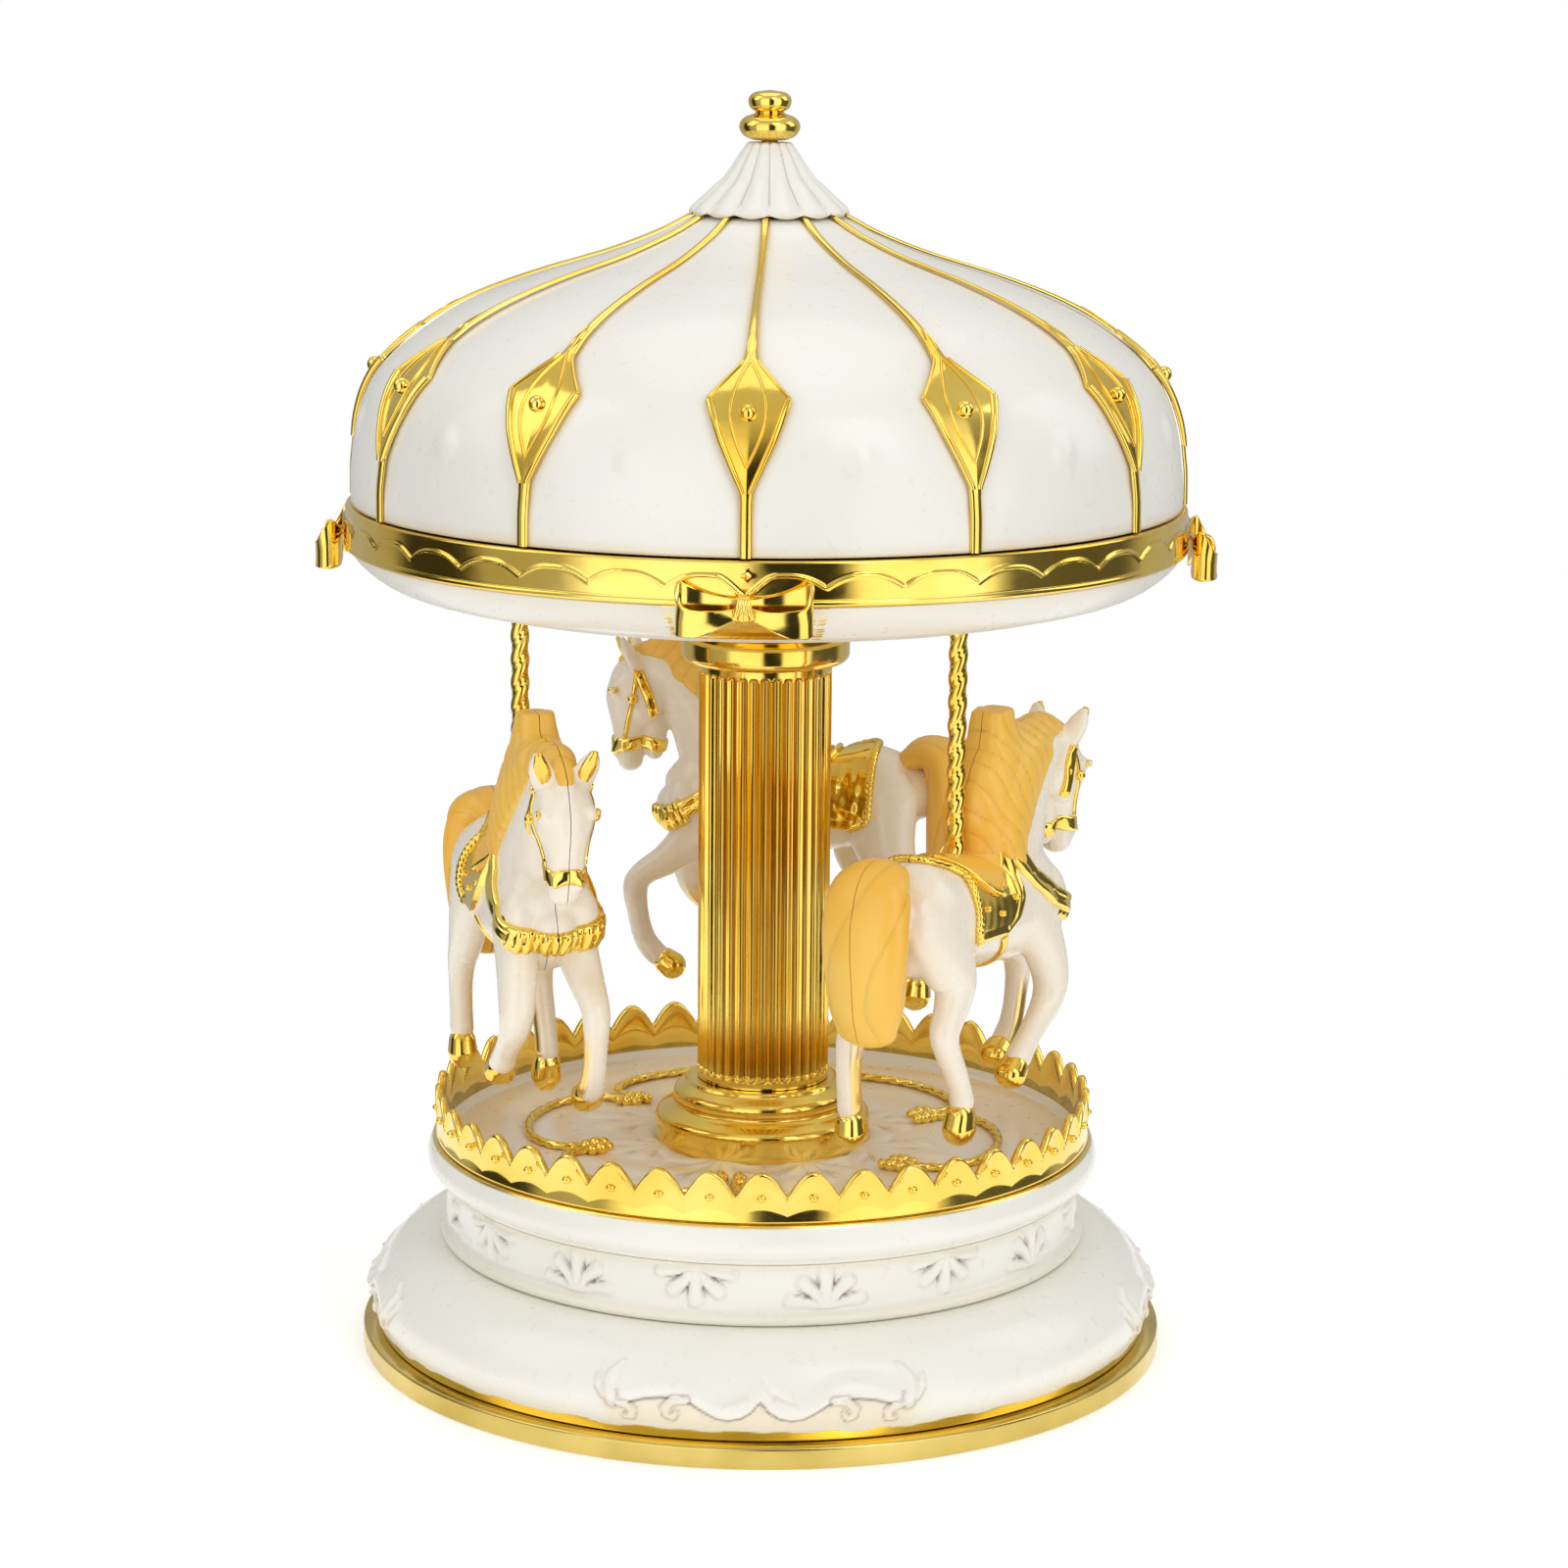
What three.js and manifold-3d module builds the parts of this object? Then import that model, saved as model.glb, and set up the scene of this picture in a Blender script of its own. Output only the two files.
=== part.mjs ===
// Carousel music box: a wind-up movement in a round base turns a domed canopy, and three horses
// hang from the canopy on twisted poles that rise and fall on a fixed cam.
// Millimetres, +Z up. The origin is the middle of the foot ring's underside, on the axis of the column.
// Azimuths are in degrees from +X, anticlockwise seen from above; the front faces -Y.
import * as THREE from "three";
import { mergeVertices } from "three/addons/utils/BufferGeometryUtils.js";
import Module from "manifold-3d";

const wasm = await Module();
wasm.setup();

// ---------------------------------------------------------------- driving dimensions

const GAP = 0.3; // between pieces that meet
const RING_SIDES = 32;
const COLUMN_SIDES = 20;

const FOOT_RADIUS = 65;
const FOOT_HEIGHT = 3.4;
const SKIRT_RADIUS = 63.5;
const SKIRT_TOP = 17.8;
const NECK_RADIUS = 50.7;
const NECK_TOP = 27.4;
const DECK_RADIUS = 54.4;
const DECK_FLOOR = 33;
const DECK_RIM_TOP = 34.3;
const FENCE_RADIUS = 52.9;
const FENCE_THICKNESS = 1.3;
const FENCE_VALLEY = 39;
const FENCE_PEAK = 42.3;
const FENCE_LOBES = 42;

const COVER_BOTTOM = 6.6;
const COVER_TOP = 8.6;
const COVER_RADIUS = 56.5;
const KEY_HOLE_RADIUS = 4.2;
const BOSS_PLACES = [[-15, 12], [-15, -18], [40, 14]];
const COVER_SCREW_CIRCLE = 52;
const COVER_SCREW_AZIMUTHS = [60, 180, 300];

const COLUMN_BASE_RADIUS = 17.9;
const COLUMN_FOOT_TOP = 43.3;
const COLUMN_RADIUS = 10.6;
const COLUMN_FLUTES = 36;
const COLUMN_FLUTE_DEPTH = 0.7;
const COLUMN_BORE = 6.2;
const COLUMN_TOP = 111.4;
const CAPITAL_RADIUS = 13.4;
const CAPITAL_TOP = 116.2;
const DRIVE_SHAFT_RADIUS = 2;

const TRAY_BOTTOM = 122.4;
const TRAY_BORE = 9;
const BAND_BOTTOM = 130.5;
const BAND_TOP = 137.2;
const BAND_RADIUS = 66.7;
const CANOPY_PHASE = 267.4; // azimuth of the front rib and bow
const RIB_COUNT = 12;
const BOW_COUNT = 4;
const CAP_PLEATS = 14;
const TOTAL_HEIGHT = 201.2;

// Outer profile of the dome, from its hem to its crown, as radius and height.
const DOME_PROFILE = [
  [65.5, 137.5], [65.2, 144], [64.1, 151], [61.4, 157.8], [54.5, 163.8], [43.3, 170],
  [29, 175], [14.6, 180.2], [10.5, 182],
];
const DOME_THICKNESS = 1.6;
// Half the width of a rib's kite at the heights where its outline turns.
const KITE_OUTLINE = [[147, 0.9], [159, 6.1], [164.3, 1]];

const POLE_RADIUS = 1.5;
const POLE_CIRCLE = 40.2;
const POLE_TIP = 55.2;
const POLE_TOP = 150;
// Each horse: the azimuth of its pole, how far it is turned from straight along its path, and
// the side of the hind leg that it stretches back.
const HORSES = [
  { name: "left", azimuth: 197, turn: -1, stretched: -1 },
  { name: "right", azimuth: 317, turn: 8.5, stretched: 1 },
  { name: "back", azimuth: 80, turn: 0, stretched: 1 },
];

const CAM_RADIUS = 35.5;
const CAM_WALL = 1.8;
const CAM_MIDDLE = 131;
const CAM_RISE = 2.4; // half of the horses' travel
const CAM_PEAK = 80; // azimuth of one of the two peaks
const ROLLER_RADIUS = 2.2;

const BEDPLATE_BOTTOM = 10.6;
const BEDPLATE_TOP = 12.6;
const BARREL_RADIUS = 13.2;
const BARREL_TOP = 19;
const CROWN_TEETH = 36;
const CROWN_TOP = 20.2;
const ARBOR_HEIGHT = 22.7;
const PINION_TEETH = 9;
const CYLINDER_RADIUS = 6.5;
const CYLINDER_START = 15.8;
const CYLINDER_END = 37;
const PIN_TRACKS = 18;
const WHEEL_TEETH = 32;
const WHEEL_PITCH_RADIUS = 6.4;
const GOVERNOR_TEETH = 16;
const GOVERNOR_PITCH_RADIUS = 3.2;
const GOVERNOR_ARBOR_Y = WHEEL_PITCH_RADIUS + GOVERNOR_PITCH_RADIUS;
const WORM_WHEEL_TEETH = 10;
const WORM_WHEEL_RADIUS = 2.3;
const WORM_RADIUS = 1.3;
const FLY_X = 29;
const FLY_Y = GOVERNOR_ARBOR_Y + WORM_WHEEL_RADIUS + WORM_RADIUS + 0.25;

// ---------------------------------------------------------------- materials

const gold = new THREE.MeshStandardMaterial({ color: 0xd9a31f, metalness: 1, roughness: 0.15 });
const cream = new THREE.MeshStandardMaterial({ color: 0xf1e8d8, metalness: 0, roughness: 0.35 });
const steel = new THREE.MeshStandardMaterial({ color: 0xb9bcc0, metalness: 1, roughness: 0.3 });
const brass = new THREE.MeshStandardMaterial({ color: 0xc9a44c, metalness: 1, roughness: 0.3 });
const casting = new THREE.MeshStandardMaterial({ color: 0x8d9096, metalness: 0.8, roughness: 0.5 });
const moulded = new THREE.MeshStandardMaterial({ color: 0xd8d2c4, metalness: 0, roughness: 0.6 });

// ---------------------------------------------------------------- shape helpers

const radians = THREE.MathUtils.degToRad;

// A closed profile of [radius, height] points, anticlockwise, turned about Z.
function turned(profile, sides = RING_SIDES) {
  const points = profile.map(([radius, height]) => new THREE.Vector2(radius, height));
  if (profile[0][0] > 0) points.push(points[0].clone());
  return new THREE.LatheGeometry(points, sides).rotateX(Math.PI / 2);
}

// A ring whose closed profile changes with the azimuth: profileAt(angle) gives its points.
function shapedRing(steps, profileAt) {
  const positions = [];
  const triangles = [];
  const count = profileAt(0).length;
  for (let step = 0; step < steps; step += 1) {
    const angle = (2 * Math.PI * step) / steps;
    for (const [radius, height] of profileAt(angle)) {
      positions.push(radius * Math.cos(angle), radius * Math.sin(angle), height);
    }
    const next = (step + 1) % steps;
    for (let i = 0; i < count; i += 1) {
      const j = (i + 1) % count;
      const corners = [step * count + i, next * count + i, next * count + j, step * count + j];
      triangles.push(corners[0], corners[1], corners[2]);
      triangles.push(corners[0], corners[2], corners[3]);
    }
  }
  const geometry = new THREE.BufferGeometry();
  geometry.setAttribute("position", new THREE.Float32BufferAttribute(positions, 3));
  geometry.setIndex(triangles);
  return geometry;
}

function box(low, high) {
  const size = high.map((value, i) => value - low[i]);
  const middle = high.map((value, i) => (value + low[i]) / 2);
  return new THREE.BoxGeometry(...size).translate(...middle);
}

// A round bar along Z, from one height to the other.
function bar(radius, low, high, sides = 12) {
  const height = high - low;
  return new THREE.CylinderGeometry(radius, radius, height, sides)
    .rotateX(Math.PI / 2)
    .translate(0, 0, low + height / 2);
}

// Turns a shape that was made along Z so that it lies along X, at the movement's arbor height.
function alongX(geometry, y = 0) {
  return geometry.rotateY(Math.PI / 2).translate(0, y, ARBOR_HEIGHT);
}

// A rounded limb from one point to another, thicker or thinner at its far end.
function limb(from, to, startRadius, endRadius, sides = 6) {
  const start = new THREE.Vector3(...from);
  const along = new THREE.Vector3(...to).sub(start);
  const length = along.length();
  const profile = [
    [0, -startRadius * 0.8], [startRadius, 0], [endRadius, length], [0, length + endRadius * 0.8],
  ];
  const points = profile.map(([radius, height]) => new THREE.Vector2(radius, height));
  const lathed = new THREE.Vector3(0, 1, 0);
  const turn = new THREE.Quaternion().setFromUnitVectors(lathed, along.normalize());
  return new THREE.LatheGeometry(points, sides).applyQuaternion(turn).translate(...from);
}

// A flat toothed wheel along Z, with tapering teeth and an optional bore.
function gear({ teeth, root, tip, rootWidth, tipWidth, low, high, bore = 0, phase = 0 }) {
  const outline = new THREE.Shape();
  const pitch = (2 * Math.PI) / teeth;
  const at = (radius, angle) => [radius * Math.cos(angle), radius * Math.sin(angle)];
  for (let tooth = 0; tooth < teeth; tooth += 1) {
    const middle = phase + tooth * pitch;
    const corners = [
      at(root, middle - rootWidth / root / 2),
      at(tip, middle - tipWidth / tip / 2),
      at(tip, middle + tipWidth / tip / 2),
      at(root, middle + rootWidth / root / 2),
    ];
    if (tooth === 0) outline.moveTo(...corners[0]);
    corners.forEach(([x, y]) => outline.lineTo(x, y));
  }
  outline.closePath();
  if (bore > 0) {
    outline.holes.push(new THREE.Path().absarc(0, 0, bore, 0, 2 * Math.PI, true));
  }
  const settings = { depth: high - low, bevelEnabled: false, curveSegments: 6 };
  return new THREE.ExtrudeGeometry(outline, settings).translate(0, 0, low);
}

function toSolid(geometry) {
  const bare = geometry.clone();
  bare.deleteAttribute("normal");
  bare.deleteAttribute("uv");
  const merged = mergeVertices(bare, 1e-4);
  return new wasm.Manifold(
    new wasm.Mesh({
      numProp: 3,
      vertProperties: merged.attributes.position.array,
      triVerts: new Uint32Array(merged.index.array),
    }),
  );
}

function toGeometry(solid) {
  const { vertProperties, triVerts } = solid.getMesh();
  const geometry = new THREE.BufferGeometry();
  geometry.setAttribute("position", new THREE.BufferAttribute(vertProperties, 3));
  geometry.setIndex(new THREE.BufferAttribute(triVerts, 1));
  geometry.computeVertexNormals();
  return geometry;
}

function joined(...geometries) {
  return toGeometry(geometries.map(toSolid).reduce((whole, next) => whole.add(next)));
}

function cut(geometry, ...tools) {
  return toGeometry(tools.map(toSolid).reduce((rest, tool) => rest.subtract(tool), toSolid(geometry)));
}

function onCircle(geometry, radius, azimuth) {
  return geometry.translate(radius, 0, 0).rotateZ(radians(azimuth));
}

const carousel = new THREE.Group();

function add(name, geometry, material, group = carousel) {
  const mesh = new THREE.Mesh(geometry, material);
  mesh.name = name;
  group.add(mesh);
}

// ---------------------------------------------------------------- base

function footRing() {
  return turned([
    [57, 0], [64.6, 0], [FOOT_RADIUS, 0.5], [FOOT_RADIUS, 2.8], [64.2, FOOT_HEIGHT], [57, FOOT_HEIGHT],
  ]);
}

// A domed shell with an inner flange, and three posts that the cover's screws bite into.
function baseSkirt() {
  const shell = turned([
    [60.6, FOOT_HEIGHT + 0.1], [62.4, FOOT_HEIGHT + 0.1], [SKIRT_RADIUS, 7.6], [61.4, 13],
    [55.6, SKIRT_TOP], [49, SKIRT_TOP], [49, 15.8], [54.6, 15.8], [60.4, 10.4],
  ]);
  const posts = [];
  const pilots = [];
  for (const azimuth of COVER_SCREW_AZIMUTHS) {
    posts.push(onCircle(bar(3, COVER_TOP + GAP, 16.4, 10), COVER_SCREW_CIRCLE, azimuth));
    pilots.push(onCircle(bar(1.3, COVER_TOP, 14.6, 8), COVER_SCREW_CIRCLE, azimuth));
  }
  return cut(joined(shell, ...posts), ...pilots);
}

function neckBand() {
  return turned([
    [48.6, SKIRT_TOP + 0.1], [51.9, SKIRT_TOP + 0.1], [52.1, 19], [NECK_RADIUS, 20.2],
    [NECK_RADIUS, 26.6], [51.6, NECK_TOP], [48.6, NECK_TOP],
  ]);
}

function platformDeck() {
  return turned([
    [8.5, 31], [48, 31], [48, NECK_TOP + 0.1], [52, NECK_TOP + 0.1], [DECK_RADIUS, 31],
    [53.3, DECK_RIM_TOP], [51.4, DECK_RIM_TOP], [51.2, DECK_FLOOR], [8.5, DECK_FLOOR],
  ]);
}

function crownFence() {
  const inner = FENCE_RADIUS - FENCE_THICKNESS;
  return shapedRing(FENCE_LOBES * 2, (angle) => {
    const lobe = Math.abs(Math.sin((FENCE_LOBES / 2) * angle));
    const top = FENCE_VALLEY + (FENCE_PEAK - FENCE_VALLEY) * lobe;
    return [
      [inner, DECK_RIM_TOP + 0.1], [FENCE_RADIUS, DECK_RIM_TOP + 0.1], [FENCE_RADIUS, top], [inner, top],
    ];
  });
}

// The cover under the base, with a hole for the key, three bosses that carry the movement,
// and a clearance hole for each screw.
function bottomCover() {
  const plate = turned([
    [KEY_HOLE_RADIUS, COVER_BOTTOM], [COVER_RADIUS, COVER_BOTTOM],
    [COVER_RADIUS, COVER_TOP], [KEY_HOLE_RADIUS, COVER_TOP],
  ]);
  const bosses = BOSS_PLACES.map(([x, y]) =>
    bar(3, COVER_TOP - 0.5, BEDPLATE_BOTTOM - 0.1, 10).translate(x, y, 0),
  );
  const holes = COVER_SCREW_AZIMUTHS.map((azimuth) =>
    onCircle(bar(1.3, COVER_BOTTOM - 1, COVER_TOP + 1, 8), COVER_SCREW_CIRCLE, azimuth),
  );
  return cut(joined(plate, ...bosses), ...holes);
}

function screw(headRadius, headLow, headHigh, shankRadius, shankEnd) {
  const profile = [
    [0, headLow], [headRadius, headLow], [headRadius, headHigh],
    [shankRadius, headHigh], [shankRadius, shankEnd], [0, shankEnd],
  ];
  return turned(profile, 10);
}

// ---------------------------------------------------------------- column

function columnBase() {
  return turned(
    [
      [7, DECK_FLOOR + 0.1], [COLUMN_BASE_RADIUS, DECK_FLOOR + 0.1], [COLUMN_BASE_RADIUS, 37.4],
      [16.4, 38.2], [16.9, 39.2], [15, 40.6], [14.8, 41.7], [12.4, 42.7], [12.2, COLUMN_FOOT_TOP],
      [7, COLUMN_FOOT_TOP],
    ],
    COLUMN_SIDES,
  );
}

function columnShaft() {
  const low = COLUMN_FOOT_TOP + 0.1;
  return shapedRing(COLUMN_FLUTES * 2, (angle) => {
    const onRidge = Math.cos(COLUMN_FLUTES * angle) > 0;
    const radius = onRidge ? COLUMN_RADIUS : COLUMN_RADIUS - COLUMN_FLUTE_DEPTH;
    return [[COLUMN_BORE, low], [radius, low], [radius, COLUMN_TOP], [COLUMN_BORE, COLUMN_TOP]];
  });
}

function columnCapital() {
  return turned(
    [
      [COLUMN_BORE, COLUMN_TOP + 0.1], [12.4, COLUMN_TOP + 0.1], [CAPITAL_RADIUS, 112.3],
      [CAPITAL_RADIUS, 115.3], [12.4, CAPITAL_TOP], [COLUMN_BORE, CAPITAL_TOP],
    ],
    COLUMN_SIDES,
  );
}

function shaftBush(radius, low, high) {
  const bore = DRIVE_SHAFT_RADIUS + GAP;
  return turned([[bore, low], [radius, low], [radius, high], [bore, high]], 12);
}

function camHeight(azimuth) {
  return CAM_MIDDLE + CAM_RISE * Math.cos(2 * radians(azimuth - CAM_PEAK));
}

// The fixed cam: a stem on the capital, a disc above the tray, and a wall with a wavy rim.
function camRing() {
  const stem = TRAY_BORE - 0.6;
  const inner = CAM_RADIUS - CAM_WALL;
  return shapedRing(RING_SIDES, (angle) => {
    const rim = camHeight(THREE.MathUtils.radToDeg(angle));
    return [
      [COLUMN_BORE, CAPITAL_TOP + 0.1], [stem, CAPITAL_TOP + 0.1], [stem, 125.6], [CAM_RADIUS, 125.6],
      [CAM_RADIUS, rim], [inner, rim], [inner, 127.2], [COLUMN_BORE, 127.2],
    ];
  });
}

// ---------------------------------------------------------------- canopy

function canopyCollar() {
  return turned(
    [[TRAY_BORE, 116.8], [10.6, 116.8], [11, 118.6], [13.2, 120.8], [17, 122.2], [TRAY_BORE, 122.2]],
    COLUMN_SIDES,
  );
}

function canopyTray() {
  const shell = turned([
    [TRAY_BORE, TRAY_BOTTOM], [49, TRAY_BOTTOM], [60.9, 125.3], [65.8, BAND_BOTTOM - 0.1],
    [64.2, BAND_BOTTOM - 0.1], [59.8, 126.6], [49.4, 123.6], [TRAY_BORE, 123.6],
  ]);
  const holes = HORSES.map(({ azimuth }) => onCircle(bar(3, 120, 126, 12), POLE_CIRCLE, azimuth));
  return cut(shell, ...holes);
}

// A guide for a pole, with a flange on the tray's floor.
function poleBush(azimuth) {
  const bore = POLE_RADIUS + GAP;
  const sleeve = turned(
    [[bore, 121.2], [2.7, 121.2], [2.7, 124.1], [3.9, 124.1], [3.9, 125.2], [bore, 125.2]],
    12,
  );
  return onCircle(sleeve, POLE_CIRCLE, azimuth);
}

function canopyBand() {
  return turned([
    [64.3, BAND_BOTTOM], [66.3, BAND_BOTTOM], [BAND_RADIUS, 131.1], [BAND_RADIUS, 136.6],
    [66.3, BAND_TOP], [64.3, BAND_TOP],
  ]);
}

// A ribbon bow: two loops and a knot, standing clear of the band.
function bow(azimuth) {
  const middle = 69.15;
  const height = 130.7;
  const loops = [-1, 1].map((side) =>
    new THREE.SphereGeometry(1, 7, 4).scale(2.1, 5, 3.4).rotateX(side * 0.12)
      .translate(middle, side * 4.7, height),
  );
  const knot = new THREE.SphereGeometry(1, 7, 4).scale(2.05, 1.7, 2).translate(middle, 0, height - 0.4);
  return joined(...loops, knot).rotateZ(radians(azimuth));
}

function canopyDome() {
  const inner = DOME_PROFILE.map(([radius, height], i) => {
    const [previousRadius, previousHeight] = DOME_PROFILE[Math.max(i - 1, 0)];
    const [nextRadius, nextHeight] = DOME_PROFILE[Math.min(i + 1, DOME_PROFILE.length - 1)];
    const run = Math.hypot(nextRadius - previousRadius, nextHeight - previousHeight);
    const outwards = [(nextHeight - previousHeight) / run, (previousRadius - nextRadius) / run];
    return [radius - outwards[0] * DOME_THICKNESS, height - outwards[1] * DOME_THICKNESS];
  });
  inner[0][1] = DOME_PROFILE[0][1];
  const coarse = inner.filter((_, i) => i % 2 === 0).reverse();
  return turned([...DOME_PROFILE, ...coarse]);
}

// How wide a rib is at a height: a ribbon above, a kite in the middle and a thin stem below.
function ribHalfWidth(height) {
  const kite = [[0, 0.9], ...KITE_OUTLINE, [176, 0.6], [200, 0.5]];
  const next = kite.findIndex(([level]) => level > height);
  const [lowLevel, lowWidth] = kite[next - 1];
  const [highLevel, highWidth] = kite[next];
  return THREE.MathUtils.lerp(lowWidth, highWidth, (height - lowLevel) / (highLevel - lowLevel));
}

// A curved strip that follows the dome's profile, standing a gap off it.
function rib(azimuth) {
  const stations = DOME_PROFILE.slice(0, -1);
  KITE_OUTLINE.forEach(([level]) => {
    const next = stations.findIndex(([, height]) => height > level);
    const [lowRadius, lowHeight] = stations[next - 1];
    const [highRadius, highHeight] = stations[next];
    const share = (level - lowHeight) / (highHeight - lowHeight);
    stations.splice(next, 0, [THREE.MathUtils.lerp(lowRadius, highRadius, share), level]);
  });
  const positions = [];
  const triangles = [];
  stations.forEach(([radius, height], i) => {
    const before = stations[Math.max(i - 1, 0)];
    const after = stations[Math.min(i + 1, stations.length - 1)];
    const slope = Math.atan2(before[0] - after[0], after[1] - before[1]);
    const half = ribHalfWidth(height);
    for (const [offset, side] of [[GAP, -1], [GAP, 1], [GAP + 0.9, 1], [GAP + 0.9, -1]]) {
      positions.push(radius + offset * Math.cos(slope), side * half, height + offset * Math.sin(slope));
    }
    if (i === 0) return;
    for (let corner = 0; corner < 4; corner += 1) {
      const low = 4 * (i - 1) + corner;
      const lowNext = 4 * (i - 1) + ((corner + 1) % 4);
      triangles.push(low, lowNext + 4, lowNext, low, low + 4, lowNext + 4);
    }
  });
  const last = 4 * (stations.length - 1);
  triangles.push(0, 1, 2, 0, 2, 3);
  triangles.push(last, last + 2, last + 1, last, last + 3, last + 2);
  const geometry = new THREE.BufferGeometry();
  geometry.setAttribute("position", new THREE.Float32BufferAttribute(positions, 3));
  geometry.setIndex(triangles);
  return geometry.rotateZ(radians(azimuth));
}

// The twelve ribs, held together by a ring under the pleated cap's hem.
function ribCage() {
  const crown = turned([[13.2, 181.1], [14.8, 180.5], [15.2, 181.3], [13.6, 181.9]], COLUMN_SIDES);
  const ribs = [];
  for (let i = 0; i < RIB_COUNT; i += 1) {
    ribs.push(rib(CANOPY_PHASE + (360 / RIB_COUNT) * i));
  }
  return joined(crown, ...ribs);
}

function pleatedCap() {
  const outline = [[12.2, 182.5], [9.9, 184.8], [6.6, 188], [3.3, 193.2]];
  const pleatDepth = 0.5;
  return shapedRing(CAP_PLEATS * 2, (angle) => {
    const pleat = 0.5 + 0.5 * Math.cos(CAP_PLEATS * angle);
    const fold = 1 - (pleatDepth * (1 - pleat)) / 12;
    const outer = outline.map(([radius, height]) => [radius * fold, height]);
    return [[1.6, 183.3], [10.6, 183.3], [12, 182.2], ...outer, [1.6, 193.2]];
  });
}

function finial() {
  return turned(
    [
      [0, 184.6], [1.3, 184.6], [1.3, 193.6], [3.2, 193.7], [4.6, 194.8], [4.6, 196.3], [2.7, 197.7],
      [3.2, 198.9], [3.2, 200.1], [1.7, 201], [0, TOTAL_HEIGHT],
    ],
    14,
  );
}

// The spider that carries the canopy on the drive shaft: a boss, three arms over the cam,
// and a leg at the end of each arm down to the tray's floor, midway between the poles.
function canopyHub() {
  const arms = [257, 18.5, 138.5].map((azimuth) => {
    const arm = box([2.6, -3, 138.2], [52, 3, 141]);
    const leg = box([46, -3, 124.6], [52, 3, 139]);
    return joined(arm, leg).rotateZ(radians(azimuth));
  });
  const boss = bar(6, 128.4, 142, 14);
  return cut(joined(boss, ...arms), bar(DRIVE_SHAFT_RADIUS + GAP, 120, 140, 12));
}

// ---------------------------------------------------------------- horses and their poles

function pole(lift) {
  const profile = [
    [0, POLE_TIP], [1.1, POLE_TIP + 2.6], [POLE_RADIUS, POLE_TIP + 5],
    [POLE_RADIUS, POLE_TOP], [0, POLE_TOP],
  ];
  return turned(profile, 12).translate(0, 0, lift);
}

// A collar on the pole and a roller beside the cam's rim, towards the axis of the column.
function camFollower(lift, towardsAxis) {
  const middle = CAM_MIDDLE + lift + ROLLER_RADIUS;
  const bore = POLE_RADIUS + GAP;
  const collar = turned(
    [[bore, middle - 3], [3.1, middle - 3], [3.1, middle + 3], [bore, middle + 3]],
    12,
  );
  const reach = POLE_CIRCLE - CAM_RADIUS - GAP;
  const roller = bar(ROLLER_RADIUS, -reach, -2.4, 12).rotateY(Math.PI / 2).rotateZ(towardsAxis + Math.PI);
  return joined(collar, roller.translate(0, 0, middle));
}

// One horse about its pole: +X is forwards and +Y is its left. Heights are those of mid travel.
function horse(stretched) {
  const trunk = limb([-11, 0, 79], [13, 0, 78.4], 8.6, 8.8, 8).scale(1, 0.95, 1);
  const rump = new THREE.SphereGeometry(8.2, 8, 5).translate(-13, 0, 79.6);
  const neck = limb([14, 0, 83], [24.5, 0, 98], 7.4, 4.4);
  const head = limb([28.6, 0, 98.4], [31, 0, 87], 4.7, 2.9);
  const crest = joined(limb([7, 0, 95], [11, 0, 105], 3.4, 3), limb([11, 0, 105], [27, 0, 102.2], 3, 3.2));
  // The tail is bushy: nearly twice as wide as it is deep.
  const tail = joined(
    limb([-18, 0, 86.4], [-23.2, 0, 86.2], 2.4, 4),
    limb([-23.2, 0, 86.2], [-25, 0, 78], 4, 4.2),
    limb([-25, 0, 78], [-24.4, 0, 64.4], 4.2, 2.6),
  ).scale(1, 1.75, 1);
  const ears = [-1, 1].map((side) => limb([28, side * 2, 99.5], [31, side * 3.2, 104.6], 1.7, 0.8, 5));
  const across = ([x, y, z, radius]) => [x, y * stretched, z, radius];
  const legs = [
    // fore left, folded at the knee
    [[16, 4.4, 75, 4.6], [27.4, 5.4, 64.8, 2.5], [26.8, 5.4, 54.4, 1.8], [22.6, 5.4, 50.6, 2]],
    // fore right, folded under
    [[16, -4.4, 75, 4.6], [20.3, -5.4, 62, 2.5], [12.2, -5.4, 54.6, 1.7], [8.8, -5.4, 51.4, 2]],
    // one hind leg stretched back, and the other stepping forwards
    [[-13, 4.2, 76, 5.4], [-16, 5.2, 65.5, 3.2], [-20, 5.4, 57.5, 2], [-19.6, 5.4, 48, 2]].map(across),
    [[-12, -4.2, 76, 5.4], [-11.6, -5.2, 64.5, 3], [-6.8, -5.4, 52, 1.7], [-5.6, -5.4, 46.6, 2]]
      .map(across),
  ];
  const bones = legs.flatMap((joints) =>
    joints.slice(1).map(([x, y, z, radius], i) => {
      const [fromX, fromY, fromZ, fromRadius] = joints[i];
      return limb([fromX, fromY, fromZ], [x, y, z], fromRadius, radius, 5);
    }),
  );
  const poleHole = bar(POLE_RADIUS + GAP, 50, 110, 12);
  return cut(joined(trunk, rump, neck, head, crest, tail, ...ears, ...bones), poleHole);
}

// The horse is moulded in two halves that meet on its middle plane.
function horseHalf(whole, side) {
  const [low, high] = [(side * GAP) / 2, side * 30].sort((a, b) => a - b);
  const keep = box([-60, low, 40], [60, high, 120]);
  return toGeometry(toSolid(whole).intersect(toSolid(keep)));
}

// ---------------------------------------------------------------- movement

// The cast plate, with the block that the comb is screwed to.
function movementBedplate() {
  const plate = box([-20, -24, BEDPLATE_BOTTOM], [46, 19, BEDPLATE_TOP]);
  const combRest = box([16, -24, BEDPLATE_TOP - 0.5], [38, -15, 21.6]);
  const arborHole = bar(3.6, BEDPLATE_BOTTOM - 1, BEDPLATE_TOP + 1, 12);
  const screwHoles = [20, 34].map((x) => bar(1.2, 15, 22, 8).translate(x, -19.5, 0));
  return cut(joined(plate, combRest), arborHole, ...screwHoles);
}

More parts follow.
